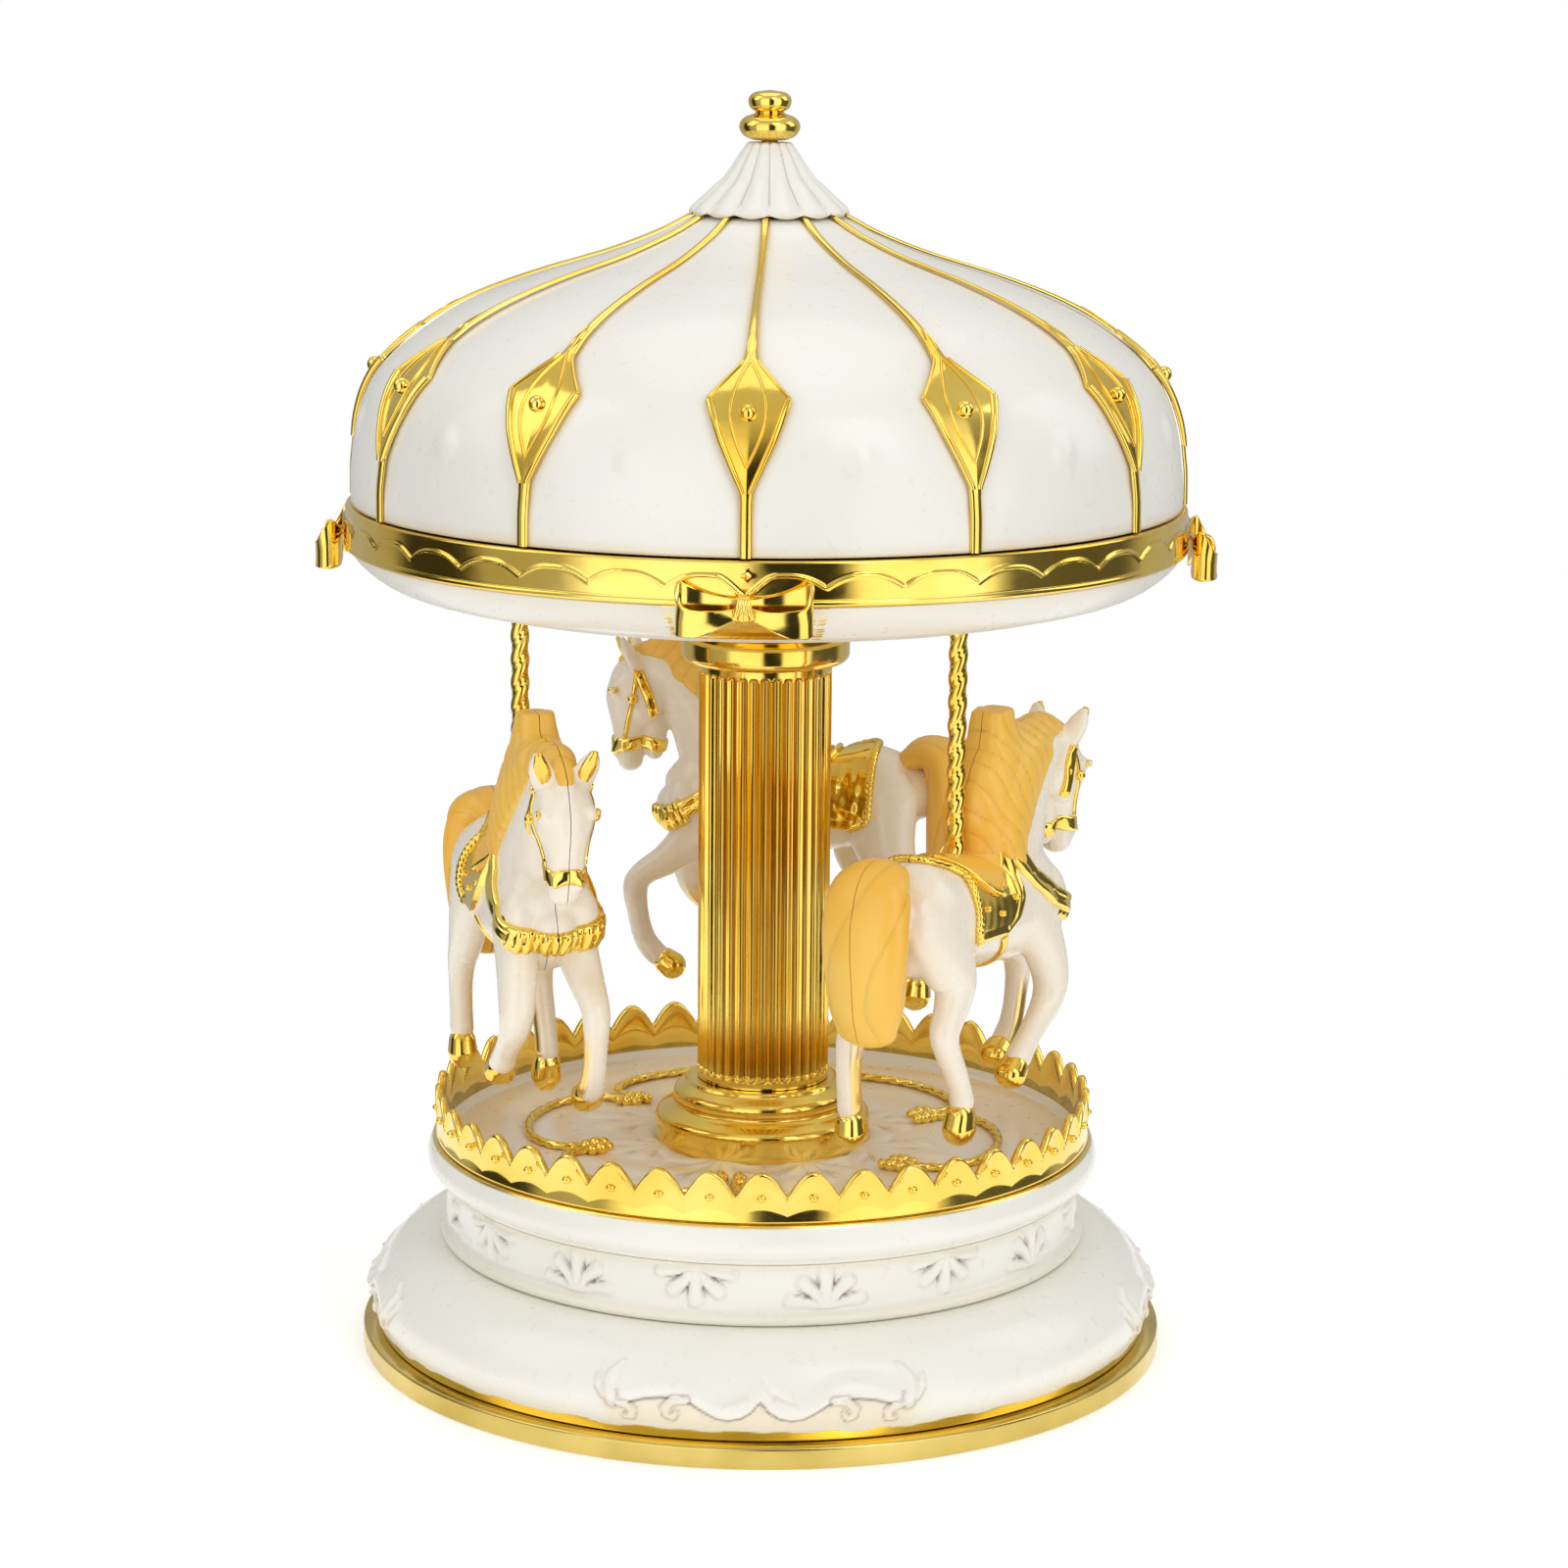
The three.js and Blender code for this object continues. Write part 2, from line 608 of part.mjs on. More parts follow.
// The tuned steel comb: teeth of falling length, their tips beside the cylinder's pins.
function musicComb() {
  const start = CYLINDER_START + 0.6;
  const pitch = (CYLINDER_END - CYLINDER_START - 1.2) / PIN_TRACKS;
  const tip = -CYLINDER_RADIUS - 0.9;
  const outline = new THREE.Shape().moveTo(start, -23.5);
  outline.lineTo(start + pitch * PIN_TRACKS, -23.5);
  for (let tooth = PIN_TRACKS - 1; tooth >= 0; tooth -= 1) {
    const left = start + tooth * pitch;
    const root = -15 + (3 * tooth) / PIN_TRACKS;
    outline.lineTo(left + pitch, root);
    outline.lineTo(left + pitch - 0.15, tip);
    outline.lineTo(left + 0.25, tip);
    outline.lineTo(left + 0.25, root);
  }
  outline.closePath();
  for (const x of [20, 34]) {
    outline.holes.push(new THREE.Path().absarc(x, -19.5, 1.3, 0, 2 * Math.PI, true));
  }
  const settings = { depth: 1.2, bevelEnabled: false, curveSegments: 6 };
  return new THREE.ExtrudeGeometry(outline, settings).translate(0, 0, 21.9);
}

// A plate that stands on the bedplate and carries an arbor.
function bearingPlate(x, thickness, y, halfWidth, bore) {
  const plate = box([x, y - halfWidth, BEDPLATE_TOP + 0.1], [x + thickness, y + halfWidth, ARBOR_HEIGHT + 3]);
  const hole = alongX(bar(bore, x - 1, x + thickness + 1, 10), y);
  return cut(plate, hole);
}

// Two cheeks on a foot for the governor's wheel, and a shelf between them under the fly.
function governorFrame() {
  const foot = box([24, 7.4, BEDPLATE_TOP + 0.1], [34, 18, 14]);
  const cheeks = [24, 33].map((x) => box([x, 7.8, 13.5], [x + 1, 12, ARBOR_HEIGHT + 2]));
  const bearings = alongX(bar(1.1, 20, 40, 10), GOVERNOR_ARBOR_Y);
  const footHole = bar(1, 12, 15, 10).translate(FLY_X, FLY_Y, 0);
  return cut(joined(foot, ...cheeks), bearings, footHole);
}

// The spring barrel, with a crown of teeth for the cylinder and a socket for the drive shaft.
function springBarrel() {
  const drum = turned(
    [[0, 13.2], [BARREL_RADIUS, 13.2], [BARREL_RADIUS, BARREL_TOP], [0, BARREL_TOP]],
    24,
  );
  const crown = gear({
    teeth: CROWN_TEETH, root: 10.6, tip: BARREL_RADIUS - 0.1, rootWidth: 0.72, tipWidth: 0.8,
    low: BARREL_TOP - 0.5, high: CROWN_TOP, phase: Math.PI / CROWN_TEETH,
  });
  const socket = bar(4, CROWN_TOP - 0.5, 25, 12);
  const bore = bar(DRIVE_SHAFT_RADIUS + GAP, CROWN_TOP, 26, 12);
  return cut(joined(drum, crown, socket), bore);
}

function driveShaft() {
  return bar(DRIVE_SHAFT_RADIUS, CROWN_TOP + GAP, 139.6, 12);
}

// The pinned cylinder on its arbor, with the pinion that the barrel drives and the governor's wheel.
function musicCylinder() {
  const arbor = bar(1, 9.6, 45, 10);
  const drum = bar(CYLINDER_RADIUS, CYLINDER_START, CYLINDER_END, 18);
  const pinion = gear({
    teeth: PINION_TEETH, root: 2.3, tip: 3.5, rootWidth: 0.8, tipWidth: 0.45, low: 10.9, high: 13.5,
  });
  const wheel = gear({
    teeth: WHEEL_TEETH, root: 5.8, tip: 6.85, rootWidth: 0.58, tipWidth: 0.34, low: 37.7, high: 39.3,
    phase: Math.PI / 2,
  });
  const pins = [];
  const trackPitch = (CYLINDER_END - CYLINDER_START - 1.2) / PIN_TRACKS;
  for (let pin = 0; pin < PIN_TRACKS; pin += 1) {
    const along = CYLINDER_START + 0.6 + trackPitch * (pin + 0.5);
    const spike = box(
      [CYLINDER_RADIUS - 0.4, -0.2, along - 0.2],
      [CYLINDER_RADIUS + 0.5, 0.2, along + 0.2],
    );
    pins.push(spike.rotateZ(radians(137.5 * pin)));
  }
  return alongX(joined(arbor, drum, pinion, wheel, ...pins));
}

function governorWheel() {
  const arbor = bar(0.8, 22.6, 39.6, 8);
  const wheel = gear({
    teeth: GOVERNOR_TEETH, root: 2.6, tip: 3.65, rootWidth: 0.58, tipWidth: 0.34, low: 37.6, high: 39.2,
    phase: -Math.PI / 2 + Math.PI / GOVERNOR_TEETH,
  });
  const wormWheel = gear({
    teeth: WORM_WHEEL_TEETH, root: 1.6, tip: WORM_WHEEL_RADIUS, rootWidth: 0.7, tipWidth: 0.4,
    low: FLY_X - 0.8, high: FLY_X + 0.8,
  });
  return alongX(joined(arbor, wheel, wormWheel), GOVERNOR_ARBOR_Y);
}

// The air brake: a spindle with a worm and two vanes.
function governorFly() {
  const spindle = bar(0.7, 13.2, 30.2, 8);
  const worm = bar(WORM_RADIUS, 20.6, 24.8, 10);
  const vanes = box([-4, -0.3, 26.2], [4, 0.3, 29.6]);
  return joined(spindle, worm, vanes).translate(FLY_X, FLY_Y, 0);
}

// The winding key: a rounded grip under the cover and a stem up to the barrel.
function windKey() {
  const grip = box([-11, -1.4, 1.4], [11, 1.4, 5.4]);
  const stem = bar(2.6, 4.6, 12.9, 12);
  return joined(grip, stem);
}

// ---------------------------------------------------------------- assembly

add("foot_ring", footRing(), gold);
add("base_skirt", baseSkirt(), cream);
add("neck_band", neckBand(), cream);
add("platform_deck", platformDeck(), cream);
add("crown_fence", crownFence(), gold);
add("bottom_cover", bottomCover(), moulded);
COVER_SCREW_AZIMUTHS.forEach((azimuth, i) => {
  const fastener = screw(2.6, COVER_BOTTOM - 1.6, COVER_BOTTOM - 0.1, 1, 14);
  add(`cover_screw_${i + 1}`, onCircle(fastener, COVER_SCREW_CIRCLE, azimuth), steel);
});

add("column_base", columnBase(), gold);
add("column_shaft", columnShaft(), gold);
add("column_capital", columnCapital(), gold);
add("shaft_bush_lower", shaftBush(6.7, 33.4, 37), brass);
add("shaft_bush_upper", shaftBush(5.9, 107, 111), brass);
add("cam_ring", camRing(), moulded);

add("movement_bedplate", movementBedplate(), casting);
add("music_comb", musicComb(), steel);
[20, 34].forEach((x, i) => {
  const fastener = turned(
    [[0, 15.4], [0.9, 15.4], [0.9, 23.2], [2, 23.2], [2, 24.6], [0, 24.6]],
    10,
  );
  add(`comb_screw_${i + 1}`, fastener.translate(x, -19.5, 0), steel);
});
add("cylinder_bearing_inner", bearingPlate(14, 1.2, 0, 4, 1.3), casting);
add("cylinder_bearing_outer", bearingPlate(42, 1.2, 0, 4, 1.3), casting);
add("governor_frame", governorFrame(), casting);
add("music_cylinder", musicCylinder(), brass);
add("governor_wheel", governorWheel(), brass);
add("governor_fly", governorFly(), steel);
add("spring_barrel", springBarrel(), brass);
add("drive_shaft", driveShaft(), steel);
add("wind_key", windKey(), steel);

add("canopy_hub", canopyHub(), moulded);
add("canopy_collar", canopyCollar(), gold);
add("canopy_tray", canopyTray(), cream);
add("canopy_band", canopyBand(), gold);
add("canopy_dome", canopyDome(), cream);
add("canopy_ribs", ribCage(), gold);
add("pleated_cap", pleatedCap(), cream);
add("finial", finial(), gold);
["front", "right", "back", "left"].slice(0, BOW_COUNT).forEach((side, i) => {
  add(`bow_${side}`, bow(CANOPY_PHASE + (360 / BOW_COUNT) * i), gold);
});

for (const { name, azimuth, turn, stretched } of HORSES) {
  const whole = horse(stretched);
  const lift = camHeight(azimuth) - CAM_MIDDLE;
  const heading = radians(azimuth + 90 + turn);
  add(`pole_bush_${name}`, poleBush(azimuth), brass);
  const carrier = new THREE.Group();
  const [x, y] = [Math.cos(radians(azimuth)), Math.sin(radians(azimuth))];
  carrier.position.set(POLE_CIRCLE * x, POLE_CIRCLE * y, 0);
  add(`pole_${name}`, pole(lift), gold, carrier);
  add(`cam_follower_${name}`, camFollower(lift, radians(azimuth) + Math.PI), moulded, carrier);
  const body = new THREE.Group();
  body.position.z = lift;
  body.rotation.z = heading;
  add(`horse_${name}_near_half`, horseHalf(whole, -1), cream, body);
  add(`horse_${name}_far_half`, horseHalf(whole, 1), cream, body);
  carrier.add(body);
  carousel.add(carrier);
}

export default carousel;
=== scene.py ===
"""Looks for the carousel music box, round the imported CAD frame. Lengths in the code are millimetres."""
import math

import bmesh
import bpy
import numpy as np
from mathutils import Matrix, Vector
from mathutils.bvhtree import BVHTree


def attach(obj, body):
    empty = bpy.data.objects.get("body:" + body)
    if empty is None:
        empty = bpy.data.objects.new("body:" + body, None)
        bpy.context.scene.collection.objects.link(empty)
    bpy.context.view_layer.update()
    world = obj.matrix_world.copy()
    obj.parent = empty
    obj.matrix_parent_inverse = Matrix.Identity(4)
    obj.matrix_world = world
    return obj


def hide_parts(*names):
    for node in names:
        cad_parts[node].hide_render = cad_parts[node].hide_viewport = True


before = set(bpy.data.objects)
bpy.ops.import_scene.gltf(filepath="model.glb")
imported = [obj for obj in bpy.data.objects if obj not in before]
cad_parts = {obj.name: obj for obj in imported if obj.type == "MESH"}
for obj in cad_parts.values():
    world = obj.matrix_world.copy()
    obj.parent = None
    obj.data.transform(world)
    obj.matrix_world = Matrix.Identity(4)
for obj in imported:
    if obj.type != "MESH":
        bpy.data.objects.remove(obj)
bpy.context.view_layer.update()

MM = 0.001
TURN = 2 * math.pi
CANOPY_PHASE = math.radians(267.4)
RIBS = 12
BOWS = ("front", "right", "back", "left")
FLUTES = 36
FENCE_LOBES = 42
PALMETTES = 16
APRONS = 4
DECK_LEAVES = 8
DECK_SWAGS = [math.radians(50 + 60 * i) for i in range(6)]
POLE_CIRCLE = 40.2
CAM_LIFT = 2.4
# Each horse's azimuth, how far it turns from the circle, and which hind leg it stretches: 1 left, -1 right.
HORSES = {"left": (197.0, -1.0, -1), "right": (317.0, 8.5, 1), "back": (80.0, 0.0, 1)}


# ---------------------------------------------------------------- materials

def node_material(name):
    material = bpy.data.materials.new(name)
    material.use_nodes = True
    tree = material.node_tree
    return material, tree, tree.nodes["Principled BSDF"]


def mix_colour(tree, factor, low, high):
    node = tree.nodes.new("ShaderNodeMix")
    node.data_type = "RGBA"
    for socket, value in ((node.inputs[0], factor), (node.inputs[6], low), (node.inputs[7], high)):
        if isinstance(value, bpy.types.NodeSocket):
            tree.links.new(value, socket)
        elif isinstance(value, (float, int)):
            socket.default_value = value
        else:
            socket.default_value = (*value, 1)
    return node.outputs[2]


def ramp(tree, source, low, high, out_low=0.0, out_high=1.0):
    node = tree.nodes.new("ShaderNodeMapRange")
    tree.links.new(source, node.inputs[0])
    for i, value in enumerate((low, high, out_low, out_high), start=1):
        node.inputs[i].default_value = value
    return node.outputs[0]


def noise(tree, scale, detail=2.0, stretch=(1, 1, 1)):
    place = tree.nodes.new("ShaderNodeTexCoord")
    mapping = tree.nodes.new("ShaderNodeMapping")
    mapping.inputs["Scale"].default_value = stretch
    tree.links.new(place.outputs["Object"], mapping.inputs["Vector"])
    node = tree.nodes.new("ShaderNodeTexNoise")
    node.inputs["Scale"].default_value = scale
    node.inputs["Detail"].default_value = detail
    tree.links.new(mapping.outputs[0], node.inputs["Vector"])
    return node.outputs[0]


def layer(tree, name):
    node = tree.nodes.new("ShaderNodeAttribute")
    node.attribute_name = name
    return node.outputs["Fac"]


def bump(tree, shader, height, strength, distance):
    node = tree.nodes.new("ShaderNodeBump")
    node.inputs["Strength"].default_value = strength
    node.inputs["Distance"].default_value = distance * MM
    tree.links.new(height, node.inputs["Height"])
    tree.links.new(node.outputs[0], shader.inputs["Normal"])


# The next two colours are painted shade: a layer mixes them into creases, hollows and grooves, and down one
# side of each flute.
PLATING_SHADE_COLOUR = (0.30, 0.13, 0.015)
ENAMEL_SHADE_COLOUR = (0.20, 0.085, 0.022)
# A peach tint: overspray by the gilding, and on the horses' undersides painted shade.
PEACH_MIST_AND_SHADE = (0.90, 0.62, 0.26)
BARE_ROUGHNESS = 0.14


def plated(name, light, deep, rough=(0.07, 0.17), peel=0.10):
    """Bright plating: the colour and gloss drift a little, and the surface isn't quite flat."""
    material, tree, shader = node_material(name)
    drift = ramp(tree, noise(tree, 55, 3), 0.35, 0.7)
    colour = mix_colour(tree, drift, light, deep)
    # Painted shade: the gold turns dark brown where the layer marks creases, hollows and the flutes' shaded
    # side.
    colour = mix_colour(tree, layer(tree, "wash"), colour, PLATING_SHADE_COLOUR)
    tree.links.new(colour, shader.inputs["Base Color"])
    shader.inputs["Metallic"].default_value = 1.0
    tree.links.new(ramp(tree, noise(tree, 420, 4), 0.3, 0.75, *rough), shader.inputs["Roughness"])
    bump(tree, shader, noise(tree, 160, 2), peel, 0.35)
    return material


def enamel(name, light, shade, gold, rough=(0.26, 0.40), coat=0.35, peel=0.035):
    """Satin enamel over plating: painted shade darkens the creases brown, a peach tint marks the edges by
    the gilding as overspray and the horses' undersides as painted shade, bare spots show the gold.
    """
    material, tree, shader = node_material(name)
    colour = mix_colour(tree, ramp(tree, noise(tree, 38, 3), 0.3, 0.72), light, shade)
    colour = mix_colour(tree, layer(tree, "tint"), colour, PEACH_MIST_AND_SHADE)
    # Painted shade: the creases darken to brown.
    colour = mix_colour(tree, layer(tree, "wash"), colour, ENAMEL_SHADE_COLOUR)
    bare = layer(tree, "gold")
    tree.links.new(mix_colour(tree, bare, colour, gold), shader.inputs["Base Color"])
    tree.links.new(bare, shader.inputs["Metallic"])
    surface_rough = ramp(tree, noise(tree, 500, 3), 0.3, 0.7, *rough)
    keep = tree.nodes.new("ShaderNodeMapRange")
    tree.links.new(bare, keep.inputs[0])
    tree.links.new(surface_rough, keep.inputs[3])
    keep.inputs[4].default_value = BARE_ROUGHNESS
    tree.links.new(keep.outputs[0], shader.inputs["Roughness"])
    shader.inputs["Coat Weight"].default_value = coat
    shader.inputs["Coat Roughness"].default_value = 0.12
    bump(tree, shader, noise(tree, 300, 3), peel, 0.2)
    return material


def worn_metal(name, light, dark, rough, grain, stretch=(1, 1, 1)):
    material, tree, shader = node_material(name)
    drift = ramp(tree, noise(tree, grain, 4, stretch), 0.3, 0.7)
    tree.links.new(mix_colour(tree, drift, light, dark), shader.inputs["Base Color"])
    shader.inputs["Metallic"].default_value = 1.0
    gloss = ramp(tree, noise(tree, grain * 2, 3, stretch), 0.3, 0.7, *rough)
    tree.links.new(gloss, shader.inputs["Roughness"])
    bump(tree, shader, noise(tree, grain * 3, 3, stretch), 0.25, 0.1)
    return material


def plastic(name, light, shade):
    material, tree, shader = node_material(name)
    tree.links.new(mix_colour(tree, noise(tree, 70, 3), light, shade), shader.inputs["Base Color"])
    tree.links.new(ramp(tree, noise(tree, 900, 2), 0.3, 0.7, 0.42, 0.6), shader.inputs["Roughness"])
    bump(tree, shader, noise(tree, 1500, 2), 0.3, 0.05)
    return material


GOLD_LIGHT = (1.0, 0.76, 0.19)
GOLD_DEEP = (0.93, 0.60, 0.08)
GOLD = plated("gold_plating", GOLD_LIGHT, GOLD_DEEP)
IVORY = enamel("ivory_enamel", (0.955, 0.94, 0.865), (0.925, 0.905, 0.815), GOLD_LIGHT)
PEARL = enamel("pearl_enamel", (0.985, 0.915, 0.79), (0.965, 0.865, 0.70), GOLD_DEEP, rough=(0.2, 0.3))
# The foot ring is the same plating as the rest, given a darker colour here as painted shade.
SHADED_FOOT_GOLD = plated("shaded_foot_plating", (0.80, 0.62, 0.20), (0.62, 0.46, 0.11), rough=(0.16, 0.26))
AMBER = enamel(
    "amber_enamel", (1.0, 0.64, 0.11), (0.97, 0.50, 0.05), GOLD_DEEP, rough=(0.3, 0.42), coat=0.12,
)
STEEL = worn_metal(
    "movement_steel", (0.55, 0.56, 0.58), (0.42, 0.43, 0.45), (0.2, 0.35), 300, stretch=(1, 6, 1),
)
BRASS = worn_metal("movement_brass", (0.75, 0.55, 0.24), (0.62, 0.42, 0.15), (0.2, 0.35), 240)
CASTING = worn_metal("movement_casting", (0.38, 0.39, 0.41), (0.26, 0.27, 0.29), (0.4, 0.6), 520)
MOULDED = plastic("moulded_plastic", (0.70, 0.66, 0.58), (0.62, 0.58, 0.50))


# ---------------------------------------------------------------- meshes

def smooth_step(value, low, high):
    t = np.clip((np.asarray(value, float) - low) / (high - low), 0, 1)
    return t * t * (3 - 2 * t)


def between(value, low, rise, fall, high):
    """1 from rise to fall, easing to 0 at low and at high."""
    return smooth_step(value, low, rise) * (1 - smooth_step(value, fall, high))


def full_turn(count):
    return np.arange(count) * TURN / count


def compass(azimuth):
    """The unit vector outwards at an azimuth, and the one along the circle."""
    out = np.array([math.cos(azimuth), math.sin(azimuth), 0])
    return out, np.array([-math.sin(azimuth), math.cos(azimuth), 0])


def around(radius, angle, height):
    """Points at an angle round Z."""
    return np.stack(np.broadcast_arrays(radius * np.cos(angle), radius * np.sin(angle), height), -1)


def unit(vectors):
    return vectors / np.linalg.norm(vectors, axis=-1)[..., None]


def run_along(path):
    return np.concatenate([[0], np.cumsum(np.linalg.norm(np.diff(path, axis=0), axis=1))])


def bead(distance, radius):
    """Height, from 0 to 1, of a half-round bead at a distance from its middle line."""
    return np.sqrt(np.clip(1 - (distance / radius) ** 2, 0, 1))


def ragged(angle, seed, waves=(7, 60)):
    """A wandering line round the object, between about -1 and 1."""
    random = np.random.default_rng(seed)
    total = np.zeros_like(angle)
    for _ in range(24):
        total += np.sin(random.integers(*waves) * angle + random.uniform(0, TURN)) / 5
    return total


class Build:
    """Gathers surfaces, in millimetres, and turns them into one object."""

    # The layers: bare gold, painted shade in creases and hollows, and a peach tint that is overspray by the
    # gilding and painted shade under the horses.
    LAYERS = ("gold", "wash", "tint")

    def __init__(self):
        self.points, self.faces, self.slots, self.materials = [], [], [], []
        self.layers = {name: [] for name in self.LAYERS}
        self.count = 0

    def slot_of(self, material):
        if material not in self.materials:
            self.materials.append(material)
        return self.materials.index(material)

    def mesh(self, points, faces, material, **layers):
        points = np.asarray(points, float).reshape(-1, 3)
        self.points.append(points)
        self.faces.extend([[i + self.count for i in face] for face in faces])
        self.slots.extend([self.slot_of(material)] * len(faces))
        for name in self.LAYERS:
            value = np.asarray(layers.get(name, 0.0), float)
            value = value.reshape(-1) if value.ndim else value
            self.layers[name].append(np.broadcast_to(value, len(points)))
        self.count += len(points)

    def grid(self, grid, material, loop_rows=False, loop_columns=True, capped=False, **layers):
        rows, columns = grid.shape[:2]
        i, j = np.meshgrid(
            np.arange(rows if loop_rows else rows - 1),
            np.arange(columns if loop_columns else columns - 1),
            indexing="ij",
        )
        below, beside = (i + 1) % rows, (j + 1) % columns
        corners = (i, j), (i, beside), (below, beside), (below, j)
        quads = np.stack([row * columns + column for row, column in corners], -1)
        faces = quads.reshape(-1, 4).tolist()
        if capped:
            faces.append(list(range(columns))[::-1])
            faces.append(list(range((rows - 1) * columns, rows * columns)))
        self.mesh(grid, faces, material, **layers)

    def gilt(self, grid):
        self.grid(grid, GOLD, capped=True)

    def object(self, name, body=None, replaces=(), slot=None, smooth_angle=None):
        data = bpy.data.meshes.new(name)
        points = np.concatenate(self.points) * MM
        data.from_pydata(points.tolist(), [], self.faces)
        for material in self.materials:
            data.materials.append(material)
        data.polygons.foreach_set("material_index", self.slots)
        for layer_name in self.LAYERS:
            values = np.concatenate(self.layers[layer_name]).astype(np.float32)
            if values.any():
                data.attributes.new(layer_name, "FLOAT", "POINT").data.foreach_set("value", values)
        data.update()
        tidy_mesh(data)
        data.shade_smooth()
        if smooth_angle:
            data.set_sharp_from_angle(angle=math.radians(smooth_angle))
        return place(bpy.data.objects.new(name, data), body, replaces, slot)


def tidy_mesh(data):
    mesh = bmesh.new()
    mesh.from_mesh(data)
    bmesh.ops.remove_doubles(mesh, verts=mesh.verts, dist=1e-6)
    bmesh.ops.recalc_face_normals(mesh, faces=mesh.faces)
    mesh.to_mesh(data)
    mesh.free()


def place(piece, body, replaces=(), slot=None):
    bpy.context.scene.collection.objects.link(piece)
    if body:
        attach(piece, body)
    if replaces:
        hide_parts(*replaces)
    return piece


LARGEST_CUT = 0.49  # of an edge, by the rounding of one of its corners


def rounded(corners, arc=5):
    """A closed outline whose corners, given as radius, height and rounding, are rounded."""
    outline = []
    for i, corner in enumerate(corners):
        here = np.array(corner[:2], float)
        rounding = corner[2] if len(corner) > 2 else 0
        if rounding <= 0:
            outline.append(here)
            continue
        start, end = (
            here + (there - here) * min(LARGEST_CUT, rounding / np.linalg.norm(there - here))
            for there in (np.array(corners[(i + way) % len(corners)][:2], float) for way in (-1, 1))
        )
        for t in np.linspace(0, 1, arc):
            outline.append((1 - t) ** 2 * start + 2 * t * (1 - t) * here + t * t * end)
    return np.array(outline)


def resampled(outline, step, closed=True):
    points = np.vstack([outline, outline[:1]]) if closed else outline
    dense = []
    for a, b in zip(points[:-1], points[1:]):
        pieces = max(1, math.ceil(np.linalg.norm(b - a) / step))
        dense.extend(a + (b - a) * k / pieces for k in range(pieces))
    if not closed:
        dense.append(points[-1])
    return np.array(dense)


def turned(name, corners, material, columns=192, step=1.2, relief=None, **placing):
    """A closed outline turned round Z. relief(angle, radius, height) gives its rise and its layers."""
    outline = resampled(rounded(corners), step)
    along = np.roll(outline, -1, axis=0) - np.roll(outline, 1, axis=0)
    along /= np.linalg.norm(along, axis=1)[:, None] + 1e-12
    normal = np.stack([along[:, 1], -along[:, 0]], -1)
    angle = full_turn(columns)
    angle, radius = np.broadcast_arrays(angle[None, :], outline[:, :1])
    height = np.broadcast_to(outline[:, 1:], radius.shape)
    rise, layers = (relief(angle, radius, height)) if relief else (np.zeros_like(radius), {})
    far = radius + rise * normal[:, :1]
    up = height + rise * normal[:, 1:]
    build = Build()
    build.grid(around(far, angle, up), material, loop_rows=True, **layers)
    return build.object(name, **placing)


def wrapped(angle):
    return (angle + math.pi) % TURN - math.pi


def stroke(u, v, path, widths):
    """How far inside a tapering stroke points are: 1 on its middle line, 0 at its edge, less outside."""
    best = np.full(np.broadcast(u, v).shape, -9.0)
    path = np.asarray(path, float)
    for (a, b), (wa, wb) in zip(zip(path[:-1], path[1:]), zip(widths[:-1], widths[1:])):
        step = b - a
        t = np.clip(((u - a[0]) * step[0] + (v - a[1]) * step[1]) / (step @ step), 0, 1)
        distance = np.hypot(u - a[0] - t * step[0], v - a[1] - t * step[1])
        best = np.maximum(best, 1 - distance / (wa + (wb - wa) * t))
    return best


def curve(points, count):
    """A smooth curve through points, by Catmull-Rom."""
    points = np.asarray(points, float)
    ends = np.vstack([2 * points[0] - points[1], points, 2 * points[-1] - points[-2]])
    places = np.linspace(0, len(points) - 1, count)
    result = []
    for place_ in places:
        i = min(int(place_), len(points) - 2)
        t = place_ - i
        a, b, c, d = ends[i:i + 4]
        square, cube = 2 * a - 5 * b + 4 * c - d, 3 * b - a - 3 * c + d
        result.append(0.5 * ((2 * b) + (c - a) * t + square * t * t + cube * t ** 3))
    return np.array(result)


def frames(path, up=(0, 0, 1)):
    """Tangent, side and up vectors along a path."""
    tangent = unit(np.gradient(path, axis=0))
    side = np.cross(tangent, np.asarray(up, float))
    side /= np.linalg.norm(side, axis=1)[:, None] + 1e-12
    return tangent, side, np.cross(side, tangent)


def rope_grid(path, radius, pitch, strands=3, sides=18, up=(0, 0, 1)):
    """A rope of twisted strands along a path."""
    _, side, over = frames(path, up)
    run = run_along(path)
    angle = full_turn(sides)
    phase = strands * (angle[None, :] - TURN * run[:, None] / (pitch * strands))
    size = radius * (0.66 + 0.34 * np.abs(np.cos(phase / 2)) ** 0.8)
    return (
        path[:, None, :]
        + size[..., None] * np.cos(angle)[None, :, None] * side[:, None, :]
        + size[..., None] * np.sin(angle)[None, :, None] * over[:, None, :]
    )


def tube(path, radius, sides=10, up=(0, 0, 1)):
    _, side, over = frames(path, up)
    angle = full_turn(sides)
    radius = np.broadcast_to(radius, len(path))[:, None, None]
    c, s = np.cos(angle)[None, :, None], np.sin(angle)[None, :, None]
    return path[:, None, :] + radius * (c * side[:, None, :] + s * over[:, None, :])


def ball_grid(centre, radii, rings=10, sides=14):
    down = np.linspace(0.02, math.pi - 0.02, rings)[:, None]
    ball = around(np.sin(down), full_turn(sides), np.cos(down))
    return np.asarray(centre, float) + ball * np.asarray(radii, float)


# ---------------------------------------------------------------- camera, light and floor

